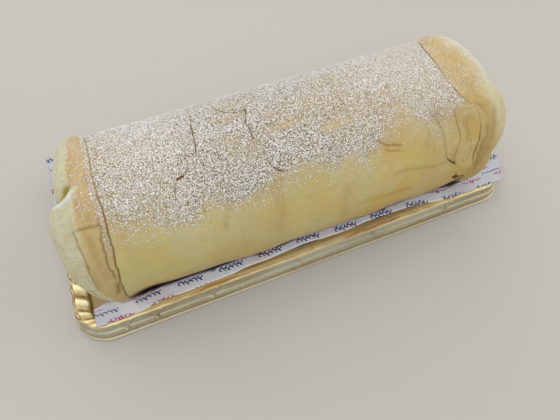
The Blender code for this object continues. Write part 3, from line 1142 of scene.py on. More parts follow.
        # Round each joint's edge, and paint shade along the joint.
        for side, from_joint in ((Side.LEFT, x - low), (Side.RIGHT, high - x)):
            inward = self.edge_round - np.clip(from_joint, 0.0, self.edge_round)
            rounding = self.edge_round - np.sqrt(np.maximum(self.edge_round**2 - inward**2, 0.0))
            height -= rounding * JOINTS[side].groove(angle)
            crease = np.maximum(crease, JOINTS[side].shade(from_joint, angle))
        toast_and_shade = 0.85 * ramp(angle, 150.0, 112.0) * ramp(angle, 0.0, 40.0)
        toast_and_shade += 0.30 * ramp(layered_noise(places * (1.0, 0.35, 0.35), 0.024, 2, 15), 0.0, 0.5)
        crumb = 0.22 * ramp(layered_noise(places, 0.022, 2, 14), -0.05, 0.5)
        # Painted contact shade on the underside, from a little higher near the ends.
        ends = np.maximum(ramp(x, -0.080, -0.095), ramp(x, 0.070, 0.085))
        under = ramp(angle, self.under_from - 6.0 * ends, self.under_from + 8.0 - 6.0 * ends)
        crease = np.maximum(crease, under * ramp(angle, 330.0, 310.0))
        # Painted shade low on the near side, beside the paper, added to the toast.
        near_side = ramp(angle, 340.0, 320.0)
        toast_and_shade += 0.5 * ramp(angle, 180.0, 200.0) * near_side
        toast_and_shade += 0.45 * ramp(angle, 190.0, 199.0) * near_side * ramp(x, -0.030, 0.010) * ramp(x, 0.085, 0.060)
        return Cover(height, crease, dust, crumb, toast_and_shade, masks["moist"], masks["flour"])

    def gusset_sink(self, x: Array, angle: Array) -> Array:
        """Work out how far the near surface beside the right joint lies below the rest.

        Args:
            x: Metres along the roll.
            angle: Degrees round it.

        Returns:
            Metres at each point.
        """
        angles, edges = zip(*self.gusset)
        edge = np.interp(angle, angles, np.array(edges) * MM)
        fade = ramp(angle, angles[0], angles[0] + 14.0) * ramp(angle, angles[-1], angles[-1] - 14.0)
        joint = self.span(angle)[1]
        return 0.0009 * fade * ramp((x - edge) / MM, 0.0, 4.0) * ramp((joint - x) / MM, 0.0, 6.0)

    def dusting(self, x: Array, angle: Array, places: Array) -> Array:
        """Work out how much sugar lies at each point.

        Args:
            x: Metres along the roll.
            angle: Degrees round it.
            places: The points themselves, for the noise.

        Returns:
            An amount from 0 to 1.
        """
        xs, angles = zip(*self.near_border)
        border = np.interp(x / MM, xs, angles)
        ragged = 7.0 * layered_noise(places, 0.011, 3, 21)
        inside = border + ragged - angle
        dense = sum(share * ramp(inside, low, high) for share, low, high in self.border_steps)
        wandering = angle + 8.0 * layered_noise(places, 0.012, 3, 22)
        far = ramp(wandering, self.far_border - 6.0, self.far_border + 8.0)
        patches = 0.88 + 0.30 * layered_noise(places * (0.6, 1.0, 1.0), 0.016, 3, 23)
        amount = dense * far * patches * (angle < 200.0)
        for spot_x, spot_angle, long, wide in self.bare_spots:
            across = (angle - spot_angle) * math.radians(1.0) * RADIUS_MM
            away = np.hypot((x / MM - spot_x) / long, across / wide)
            amount = amount * (1.0 - 0.6 * np.exp(-(away**2)))
        return np.clip(amount, 0.0, 1.0)

    def surface(self, x: Array, angle: Array) -> tuple[Array, Array]:
        """Points on the outer surface.

        Args:
            x: Metres along the roll.
            angle: Degrees round it.

        Returns:
            The points, and how much sugar lies on each.
        """
        cover = self.cover(x, angle)
        y, z = SECTION.at(angle, 1.0 + cover.height / SECTION.rise)
        return np.stack([x, y, z], axis=1), cover.dust * (cover.crease < CLEAN_BELOW)

    def near_folds(self, centres: Array) -> Array:
        """Find which of the flat grid's faces lie close to a narrow line.

        Args:
            centres: The middle of each face.

        Returns:
            True for each face that does.
        """
        x, angle, _ = self.unroll(centres[:, 0], centres[:, 1])
        close = np.zeros(len(centres), bool)
        for fold in self.folds:
            if fold.width > self.fine_width:
                continue
            xs, angles = (np.array(side) for side in zip(*fold.points))
            box = (x / MM > xs.min() - 3.0) & (x / MM < xs.max() + 3.0)
            box &= (angle > angles.min() - 4.0) & (angle < angles.max() + 4.0)
            picked = np.flatnonzero(box)
            if len(picked):
                distance = fold.track(x[picked] / MM, angle[picked], RADIUS_MM)[0]
                close[picked] |= distance < self.fine_reach + fold.width
        return close

    def unroll(self, u: Array, v: Array) -> tuple[Array, Array, Array]:
        """Turn the grid's coordinates into places on the roll.

        Args:
            u: 0 to 1 from the middle of the left face to the middle of the right one.
            v: 0 to 1 round the roll.

        Returns:
            X, the angle, and a factor that is below 1 on the two end faces.
        """
        angle = v * 360.0
        total = self.columns + 2 * self.face_columns
        step = u * total
        share = np.clip((step - self.face_columns) / self.columns, 0.0, 1.0)
        share = share - self.edge_crowd * np.sin(2.0 * np.pi * share) / (2.0 * np.pi)
        factor = np.clip(np.minimum(step, total - step) / self.face_columns, 0.0, 1.0)
        low, high = self.span(angle)
        x = low + (high - low) * share
        left_face = JOINTS[Side.LEFT].at(angle, factor) + HALF_GAP
        right_face = JOINTS[Side.RIGHT].at(angle, factor) - HALF_GAP
        x = np.where(step < self.face_columns, left_face, x)
        x = np.where(step > total - self.face_columns, right_face, x)
        return x, angle, factor

    def build(self, material: bpy.types.Material) -> bpy.types.Object:
        """Model the sponge and dress it.

        Args:
            material: The sponge's material.

        Returns:
            The finished piece.
        """
        piece = add_grid("sponge", self.columns + 2 * self.face_columns, self.rows)
        refine(piece, self.near_folds(face_centres(piece)), 2)
        grid = read_points(piece)
        x, angle, factor = self.unroll(grid[:, 0], grid[:, 1])
        cover = self.cover(x, angle)
        y, z = SECTION.at(angle, factor * (1.0 + cover.height / SECTION.rise))
        write_points(piece, np.stack([x, y, z], axis=1))
        cover.keep(piece)
        close_up(piece)
        finish_piece(piece, material, ["sponge_roll"])
        return piece


@dataclass
class FoldedEnd:
    """An end of the roll, folded shut: a full dome with lobes, creases and a toasted band."""

    side: Side
    name: str
    node: str
    start: float
    reach: float
    lobe: float
    lobe_angle: float
    lobe_spread: float
    radius: float
    far_radius: float
    neck: float
    fullness: float
    creases: tuple[tuple[float, float, float], ...]
    sharpness: float
    band: Points
    band_soft: float
    sugar_to: float
    sugar: float
    folds: tuple[Fold, ...]
    crumb_level: float = 1.0
    toast_level: float = 0.8
    lobe_step: float = 0.0
    lobe_from: float = 0.0
    shoulder: float = 0.0
    flour: float = 0.0
    crown_toast: float = 0.0
    seam_dust: float = 0.0
    narrow: float = 10.0
    sugar_low: tuple[float, float] = (30.0, 0.02)
    sugar_high: tuple[float, float] = (130.0, 0.75)
    face_depth: float = 0.0022
    columns: int = 84
    face_columns: int = 4
    rows: int = 380

    def joint(self, angle: Array, factor: Array | float) -> Array:
        """X of the joint with the main sponge."""
        return JOINTS[self.side].at(angle, factor)

    def profile(self, value: Array) -> Array:
        """The dome's radius at a share of its reach, before its creases."""
        return np.maximum(1.0 - value**self.fullness, 0.0) ** (1.0 / self.fullness)

    def arc(self, value: Array) -> Array:
        """Measure along the surface from the joint.

        Args:
            value: Share of the dome's reach.

        Returns:
            Millimetres at each share.
        """
        shares = np.sin(np.linspace(0.0, 1.0, 400) * np.pi / 2.0)
        outwards = np.diff(shares) * (self.reach + self.lobe / 2.0)
        steps = np.hypot(outwards, np.diff(self.profile(shares)) * SECTION.rise)
        return np.interp(value, shares, np.concatenate([[0.0], np.cumsum(steps)])) / MM

    def cover(self, x: Array, angle: Array, value: Array) -> Cover:
        """Work out the relief and the looks of the dome.

        Args:
            x: Metres along the roll.
            angle: Degrees round it.
            value: Share of the dome's reach.

        Returns:
            The fields at each point.
        """
        y, z = SECTION.at(angle, self.profile(value))
        places = np.stack([x, y, z], axis=1)
        arc = self.arc(value)
        height, masks = add_folds(self.folds, arc, angle, RADIUS_MM)
        angles, edges = zip(*self.band)
        beyond = arc - np.interp(angle, angles, edges) + 1.2 * layered_noise(places, 0.006, 3, 31)
        crumb = self.crumb_level * ramp(beyond, -self.band_soft, self.band_soft)
        coarse = 0.00028 * layered_noise(places, 0.008, 3, 32)
        height += coarse + 0.00016 * layered_noise(places, 0.0022, 2, 33)
        height += crumb * 0.00012 * layered_noise(places, 0.0011, 2, 34)
        wandering = angle + 7.0 * layered_noise(places, 0.008, 2, 35)
        dust = self.sugar * ramp(wandering, self.sugar_to, self.sugar_to - 16.0)
        dust = dust * ramp(beyond, 6.0, -2.0) * ramp(angle, 16.0, 40.0)
        dust = dust * (0.85 + 0.5 * layered_noise(places, 0.009, 2, 36))
        seam = ramp(arc, 2.8, 2.0) * ramp(angle, 150.0, 138.0) * ramp(angle, 16.0, 40.0)
        dust = np.maximum(dust, self.seam_dust * seam)
        toast_and_shade = (1.0 - crumb) * self.toast_level * (0.8 + 0.3 * layered_noise(places, 0.012, 2, 37))
        toast_and_shade = toast_and_shade * (1.0 + self.crown_toast * ramp(angle, 132.0, 112.0))
        # Painted shade in the folds and along the joint.
        crease = np.maximum(masks["crease"], JOINTS[self.side].shade(arc * MM, angle))
        floured = self.flour * ramp(beyond, 0.0, 5.0) * ramp(angle, 132.0, 100.0) * ramp(angle, 8.0, 50.0)
        flour = np.maximum(masks["flour"], floured)
        height += swell(self.joint(angle, 1.0), angle) * ramp(arc, 9.0, 0.0)
        return Cover(height, crease, dust, crumb, toast_and_shade, masks["moist"], flour)

    def dome(self, angle: Array, value: Array) -> tuple[Array, Array, Array]:
        """Points on the dome before its fine relief.

        Args:
            angle: Degrees round the roll.
            value: Share of the dome's reach, 0 at the joint.

        Returns:
            X, and the factor of the section, and the part of it that the creases leave.
        """
        side = self.side.value
        factor = self.radius + self.far_radius * bell(angle, 60.0, 45.0)
        flush = 0.999 - self.neck * JOINTS[self.side].groove(angle)
        factor = factor + (flush - factor) * ramp(value, 0.34, 0.0)
        full = self.profile(value)
        joint = self.joint(angle, 1.0)
        lobe = self.lobe * bell(angle, self.lobe_angle, self.lobe_spread) * np.sqrt(full)
        lobe = lobe * (1.0 - self.lobe_step * ramp(angle, self.lobe_from + 4.0, self.lobe_from - 4.0))
        lobe = lobe + self.shoulder * bell(angle, self.lobe_from + 17.0, 15.0) * np.sqrt(full)
        length = side * (self.start - joint) - HALF_GAP + self.reach + lobe
        x = joint + side * (HALF_GAP + length * value)
        left = np.ones(len(angle))
        on_face = ramp(value, 0.80, 0.98)
        for centre, spread, depth in self.creases:
            away = np.abs((angle - centre + 180.0) % 360.0 - 180.0)
            valley = (1.0 - self.sharpness) * np.exp(-((away / spread) ** 2))
            valley += self.sharpness * np.exp(-away / (0.75 * spread))
            left = left * (1.0 - depth * valley * ramp(value, 0.2, 0.85))
            if spread < self.narrow:
                x = x - side * self.face_depth * np.exp(-((away / (1.6 * spread)) ** 2)) * on_face
        return x, factor * full, left

    def skin(self, angle: Array, value: Array) -> tuple[Array, Array, Cover]:
        """Work out the dome's skin with its relief.

        Args:
            angle: Degrees round the roll.
            value: Share of the dome's reach.

        Returns:
            X, the factor of the section, and the fields at each point.
        """
        x, factor, left = self.dome(angle, value)
        cover = self.cover(x, angle, value)
        return x, factor * left + cover.height / SECTION.rise * ramp(factor, 0.0, 0.3), cover

    def surface(self, angle: Array, value: Array) -> tuple[Array, Array]:
        """Find points on the dome's skin.

        Args:
            angle: Degrees round the roll.
            value: Share of the dome's reach.

        Returns:
            The points, and how much sugar lies on each.
        """
        x, factor, cover = self.skin(angle, value)
        y, z = SECTION.at(angle, factor)
        return np.stack([x, y, z], axis=1), cover.dust * (cover.crease < CLEAN_BELOW)

    def build(self, material: bpy.types.Material) -> bpy.types.Object:
        """Model the end and dress it.

        Args:
            material: The sponge's material.

        Returns:
            The finished piece.
        """
        piece = add_grid(self.name, self.columns + self.face_columns, self.rows)
        grid = read_points(piece)
        step = grid[:, 0] * (self.columns + self.face_columns)
        angle = grid[:, 1] * 360.0
        share = np.clip((step - self.face_columns) / self.columns, 0.0, 1.0)
        value = np.sin(share * np.pi / 2.0)
        x, factor, cover = self.skin(angle, value)
        inner = np.clip(step / self.face_columns, 0.0, 1.0)
        on_face = step < self.face_columns
        factor = np.where(on_face, factor * inner, factor)
        x = np.where(on_face, self.joint(angle, inner) + self.side.value * HALF_GAP, x)
        y, z = SECTION.at(angle, factor)
        write_points(piece, np.stack([x, y, z], axis=1))
        cover.keep(piece)
        close_up(piece)
        finish_piece(piece, material, [self.node])
        return piece


def left_end() -> FoldedEnd:
    """The left end: two big lobes over a crevice, with a tan pleat on the near side."""
    return FoldedEnd(
        side=Side.LEFT, name="left_fold", node="folded_end_left",
        start=-0.108, reach=0.0180, lobe=0.0095, lobe_angle=155.0, lobe_spread=45.0,
        radius=1.015, far_radius=0.030, neck=0.008, fullness=3.2,
        creases=((99.5, 4.5, 0.11), (196.0, 8.0, 0.06), (226.0, 26.0, 0.21), (285.0, 9.0, 0.12),
                 (380.0, 9.0, 0.10)), sharpness=0.6,
        band=((0, 9.0), (55, 8.2), (70, 8.9), (83, 9.6), (92, 10.3), (97, 9.7), (99.5, 8.1), (102, 7.0),
              (107, 7.8), (119, 8.6), (130, 9.4), (144, 9.8), (161, 9.6), (172, 9.2), (188, 7.0),
              (360, 9.0)),
        band_soft=1.1, sugar_to=127.0, sugar=0.25, seam_dust=0.6, flour=0.10, crown_toast=0.35,
        lobe_step=0.85, lobe_from=100.0, shoulder=0.0042,
        folds=(
            Fold(FoldKind.CREASE, ((24.4, 98.5), (18.5, 101.5), (14.2, 103.2), (12.8, 101.5), (11.6, 99.5),
                                   (10.5, 98.0), (9.3, 96.5)),
                 1.2, 2.4, 0.12),
            Fold(FoldKind.HOLLOW, ((19.5, 101.0), (16.5, 103.0), (13.8, 102.6), (12.4, 100.6), (11.2, 98.6),
                                   (10.0, 96.6)), 1.7, 0.5, 2.2),
            Fold(FoldKind.CRACK, ((22.4, 99.5), (18.5, 102.0), (14.6, 103.8)), 0.45, 0.8, 1.0),
            Fold(FoldKind.RIM, ((8.4, 99.0), (8.6, 103.0), (10.2, 106.5), (13.0, 108.0), (17.0, 106.5),
                                (20.0, 104.5)), 1.2, 0.6, 0.9),
            Fold(FoldKind.HOLLOW, ((6.0, 84.0), (8.6, 88.0), (9.2, 94.0)), 1.6, 0.2, 0.45),
            Fold(FoldKind.LAP, ((1.5, 117.0), (1.8, 125.5), (2.8, 137.0), (2.4, 149.5), (2.1, 157.5),
                                (1.2, 170.5)), 0.5, 1.0, 0.8, 3.0),
            Fold(FoldKind.LAP, ((10.2, 124.2), (6.0, 124.8), (3.8, 125.3), (1.6, 126.2)), 0.6, 0.8, 0.55,
                 4.0),
            Fold(FoldKind.LAP, ((9.4, 120.0), (10.1, 126.0), (10.1, 136.0), (9.3, 146.0), (9.3, 153.5),
                                (9.4, 161.0), (8.7, 171.5), (7.0, 182.0)), 0.55, 1.2, 0.75, 4.0),
            Fold(FoldKind.CREASE, ((5.6, 128.0), (6.0, 145.0), (5.0, 165.0)), 1.2, 0.35, 0.15),
            Fold(FoldKind.CREASE, ((0.5, 168.0), (2.0, 176.0), (3.0, 186.0)), 1.2, 0.7, 0.6),
        ),
    )


def right_end() -> FoldedEnd:
    """The right end: a plump fold whose pleats gather on the near side."""
    return FoldedEnd(
        side=Side.RIGHT, name="right_fold", node="folded_end_right", face_depth=0.0028,
        start=0.104, reach=0.0207, lobe=0.0048, lobe_angle=142.0, lobe_spread=34.0,
        radius=1.030, far_radius=0.0, neck=0.012, fullness=3.5,
        creases=((112.0, 12.0, 0.028), (172.0, 8.0, 0.08), (232.0, 9.0, 0.14), (330.0, 9.0, 0.12)),
        sharpness=0.4,
        band=((0, 8.0), (53, 8.0), (76, 9.0), (91, 11.5), (106, 11.5), (120, 8.0), (134, 7.0), (150, 9.0),
              (175, 16.0), (200, 20.0), (360, 8.0)),
        band_soft=3.0, sugar_to=127.0, sugar=0.52, crumb_level=0.75, toast_level=0.55, flour=0.55,
        folds=(
            Fold(FoldKind.HOLLOW, ((12.0, 176.0), (14.0, 180.0), (16.0, 184.0)), 1.6, 0.1, 0.5),
            Fold(FoldKind.CREASE, ((1.0, 124.0), (3.0, 129.0), (2.5, 134.0)), 0.8, 0.4, 0.25),
            Fold(FoldKind.CREASE, ((8.0, 126.0), (7.0, 140.0), (6.0, 155.0), (4.5, 170.0), (3.0, 185.0)),
                 1.5, 0.6, 0.3),
            Fold(FoldKind.CREASE, ((3.5, 140.0), (3.5, 155.0), (3.0, 170.0)), 1.0, 0.4, 0.35),
            Fold(FoldKind.CREASE, ((2.5, 150.0), (3.0, 175.0), (3.0, 190.0)), 0.8, 0.5, 0.45),
        ),
    )


# ---------------------------------------------------------------- sugar


@dataclass
class SugarGrains:
    """Loose sugar on the dusted skin: one mesh of small closed lumps of a kind."""

    name: str
    count: int
    smallest: float
    largest: float
    fine: bool
    flatness: float
    seed: int
    spare: float = 2.6
    power: float = 1.2
    skew: float = 2.2
    jitter: float = 0.30

    def template(self) -> tuple[Array, Array]:
        """Model one lump.

        Returns:
            Its vertices with a radius of 1, and its triangles.
        """
        deselect()
        if self.fine:
            bpy.ops.mesh.primitive_cone_add(vertices=4, radius1=1.0, depth=1.0, end_fill_type="TRIFAN")
        else:
            bpy.ops.mesh.primitive_ico_sphere_add(subdivisions=1, radius=1.0)
        lump = bpy.context.object
        points = read_points(lump)
        if self.fine:
            points[:, 2] += 0.5
            points[(np.hypot(points[:, 0], points[:, 1]) < 0.5) & (points[:, 2] < 0.5), 2] = -1.0
        faces = np.empty(len(lump.data.polygons) * 3, int)
        lump.data.polygons.foreach_get("vertices", faces)
        bpy.data.objects.remove(lump, do_unlink=True)
        return points, faces.reshape(-1, 3)

    def build(self, spots: Array, normals: Array, material: bpy.types.Material) -> bpy.types.Object:
        """Join a lump at every spot into one piece.

        Args:
            spots: Where the lumps lie.
            normals: The outward direction at each spot.
            material: The sugar's material.

        Returns:
            The finished piece.
        """
        draw = np.random.default_rng(self.seed)
        shape, faces = self.template()
        number = len(spots)
        size = self.smallest + (self.largest - self.smallest) * draw.random(number) ** self.skew
        turn = draw.random(number) * 2.0 * np.pi
        along = np.cross(normals, np.array([1.0, 0.0, 0.0]))
        along /= np.linalg.norm(along, axis=1, keepdims=True) + 1e-9
        beside = np.cross(normals, along)
        first = along * np.cos(turn)[:, None] + beside * np.sin(turn)[:, None]
        second = np.cross(normals, first)
        jitter = 1.0 + self.jitter * (draw.random((number, len(shape))) - 0.5) * 2.0
        stretch = 0.7 + 0.6 * draw.random((number, 2))
        local = shape[None, :, :] * jitter[:, :, None]
        points = first[:, None, :] * (local[:, :, 0:1] * stretch[:, None, 0:1])
        points = points + second[:, None, :] * (local[:, :, 1:2] * stretch[:, None, 1:2])
        points = points + normals[:, None, :] * local[:, :, 2:3] * self.flatness
        points = spots[:, None, :] + points * (size[:, None, None] / 2.0)
        joined = (faces[None, :, :] + (np.arange(number) * len(shape))[:, None, None]).reshape(-1, 3)
        mesh = bpy.data.meshes.new(self.name)
        mesh.from_pydata(points.reshape(-1, 3).tolist(), [], joined.tolist())
        mesh.shade_smooth()
        piece = bpy.data.objects.new(self.name, mesh)
        bpy.context.scene.collection.objects.link(piece)
        finish_piece(piece, material, [])
        return piece


def scatter(
    surface: Callable[[Array, Array], tuple[Array, Array]],
    low: tuple[float, float],
    high: tuple[float, float],
    tries: int,
    draw: np.random.Generator,
    power: float,
) -> tuple[Array, Array]:
    """Pick random points of a surface where sugar lies.

    Args:
        surface: Gives points and their amount of sugar for two coordinates.
        low: The least value of each coordinate.
        high: The largest value of each.
        tries: How many points are drawn before the amount of sugar thins them.
        draw: The random numbers.
        power: How strongly the amount of sugar counts.

    Returns:
        The points that are kept, and their normals.
    """
    first = low[0] + (high[0] - low[0]) * draw.random(tries)
    second = low[1] + (high[1] - low[1]) * draw.random(tries)
    points, dust = surface(first, second)
    clump = 0.5 + 0.5 * layered_noise(points, 0.0035, 2, 41)
    kept = draw.random(tries) < dust**power * np.clip(0.35 + 1.3 * clump, 0.0, 1.0)
    points = points[kept]
    outward = points - np.array([0.0, SECTION.axis_y, SECTION.axis_z])
    outward[:, 0] = 0.0
    outward /= np.linalg.norm(outward, axis=1, keepdims=True)
    return points, outward


# ---------------------------------------------------------------- paper and tray


@dataclass
class PaperLiner:
    """One sheet of printed paper under the cake, over both rims and out past the far one."""

    columns: int = 230
    rows: int = 110
    sheet: float = 0.00014
    near_edge: Points = (
        (-151, -46.2), (-135, -46.2), (-129, -46.6), (-123, -45.9), (-117, -44.8), (-110, -44.1),
        (-98, -44.0), (-74, -43.8), (-59, -43.3), (-49, -42.5), (-34, -42.4), (-23, -41.7), (-17, -41.3),
        (-10, -40.7), (-3, -41.0), (3, -41.8), (21, -42.1), (28, -42.1), (39, -41.0), (49, -41.0),
        (56, -41.5), (65, -41.4), (73, -41.8), (80, -43.0), (87, -43.6), (94, -44.4), (101, -45.6),
        (109, -46.1), (117, -45.9), (133, -46.3), (151, -46.0),
    )
    far_y: float = 0.078
    far_lift: float = 0.0095
    lift_start: float = 0.044
    side_rise: Points = ((0, 0), (12, 0.0), (16, 0.09), (20, 0.20), (25, 0.41), (28, 0.57), (31, 0.78),
                         (33, 0.92), (35, 1.0), (90, 1.0))
    end_rise: tuple[float, float] = (0.118, 0.1385)
    left_x: tuple[float, float] = (-0.136, -0.150)
    right_x: tuple[float, float] = (0.144, 0.1508)
    left_return: float = 0.0045
    left_cut: float = 0.020
    # Where the painted contact shadow under the cake begins, and places (mm along, mm spread, metres) where
    # it reaches further out.
    contact: float = 0.0362
    notches: tuple[tuple[float, float, float], ...] = (
        (-63.0, 3.0, 0.0011), (-33.0, 6.0, 0.0011), (-17.0, 6.0, 0.0011), (52.0, 9.0, 0.0011),
        (107.0, 8.0, 0.0022),
    )
    low: float = 0.0014
    over: float = 0.0131
    length: float = 0.302
    ripple: float = 0.00015
    buckle: float = 0.0009
    slack_shift: float = 2.6

    def slack(self, x: Array) -> Array:
        """Work out where the sheet drops steeply beside the cake.

        Args:
            x: Metres along the roll.

        Returns:
            How steeply, from 0 to 1.
        """
        left = ramp(x, -0.123, -0.118) * ramp(x, -0.090, -0.112)
        right = 0.45 * ramp(x, 0.078, 0.094) * ramp(x, 0.112, 0.106)
        return np.maximum(left, right)

    def place(self, u: Array, v: Array) -> Array:
        """Points of the sheet's upper face.

        Args:
            u: 0 to 1 along the roll.
            v: 0 to 1 from the near edge to the far one.

        Returns:
            The points.
        """
        along = (u - 0.5) * self.length
        places, edges = zip(*self.near_edge)
        near = MM * np.interp(along / MM, places, edges) + self.ripple * np.sin(along * 240.0 + 1.0)
        y = near + (self.far_y - near) * v
        left = self.left_x[0] + (self.left_x[1] - self.left_x[0]) * ramp(y, -0.010, 0.030)
        left = left + self.left_return * ramp(y, 0.030, self.far_y)
        left = left + self.left_cut * ramp(y, -0.0352, -0.0308) * ramp(y, 0.004, -0.012)
        right = self.right_x[0] + (self.right_x[1] - self.right_x[0]) * ramp(y, -0.045, -0.032)
        x = left + (right - left) * u
        slack = self.slack(x) * (y < 0.0)
        widths, shares = zip(*self.side_rise)
        side = np.interp(np.abs(y) / MM - self.slack_shift * slack, widths, shares)
        end = ramp(np.abs(x), *self.end_rise)
        raised = 1.0 - (1.0 - side) * (1.0 - end)
        z = self.low + (self.over - self.low) * raised
        past = np.maximum(y - self.lift_start, 0.0) / (self.far_y - self.lift_start)
        z = z + self.far_lift * past**1.4
        flat = np.stack([x, y, np.zeros(len(x))], axis=1)
        z = z + self.buckle * ramp(raised, 0.85, 1.0) * np.abs(layered_noise(flat, 0.030, 2, 51))
        return np.stack([x, y, z], axis=1)

    def mark(self, piece: bpy.types.Object, points: Array) -> None:
        """Keep on the sheet its painted contact shadow under the cake, and its painted dimming off the near
        strip.

        Args:
            piece: The grid of the sheet.
            points: Its vertices' places.
        """
        # Painted contact shadow where the sheet runs under the cake.
        edge = self.contact - 0.0006 * self.slack(points[:, 0])
        for place, spread, reach in self.notches:
            edge = edge + reach * np.exp(-(((points[:, 0] / MM - place) / spread) ** 2))
        under = ramp(np.abs(points[:, 1]), edge + 0.0003, edge - 0.0004)
        write_field(piece, "contact_shadow", under * ramp(np.abs(points[:, 0]), 0.1200, 0.1165))
        # Painted light: the strip beside the cake stays bright and the rest is dimmed.
        by_cake = ramp(points[:, 1], -0.0478, -0.0440) * ramp(points[:, 1], -0.025, -0.034)
        beside = ramp(points[:, 0], -0.128, -0.108) * ramp(points[:, 0], 0.112, 0.092)
        write_field(piece, "painted_dimming", 1.0 - by_cake * beside)

    def build(self, material: bpy.types.Material) -> bpy.types.Object:
        """Model the sheet and dress it.

        Args:
            material: The printed paper.

        Returns:
            The finished piece.
        """
        piece = add_grid("liner", self.columns, self.rows)
        grid = read_points(piece)
        points = self.place(grid[:, 0], grid[:, 1])
        lengths = np.stack([points[:, 0], np.zeros(len(points))], axis=1) / MM
        shares = np.linspace(0.0, 1.0, 400)
        middle = self.place(np.full(400, 0.5), shares)
        arc = np.concatenate([[0.0], np.cumsum(np.linalg.norm(np.diff(middle, axis=0), axis=1))]) / MM
        lengths[:, 1] = np.interp(grid[:, 1], shares, arc)
        write_points(piece, points)
        self.mark(piece, points)
        layer = piece.data.uv_layers[0]
        layer.name = "sheet"
        corners = np.empty(len(piece.data.loops), int)
        piece.data.loops.foreach_get("vertex_index", corners)
        layer.data.foreach_set("uv", lengths[corners].astype(np.float32).ravel())
        apply_modifier(piece, "SOLIDIFY", thickness=self.sheet, offset=-1.0)
        piece.data.shade_smooth()
        finish_piece(piece, material, ["paper_liner"])
        return piece


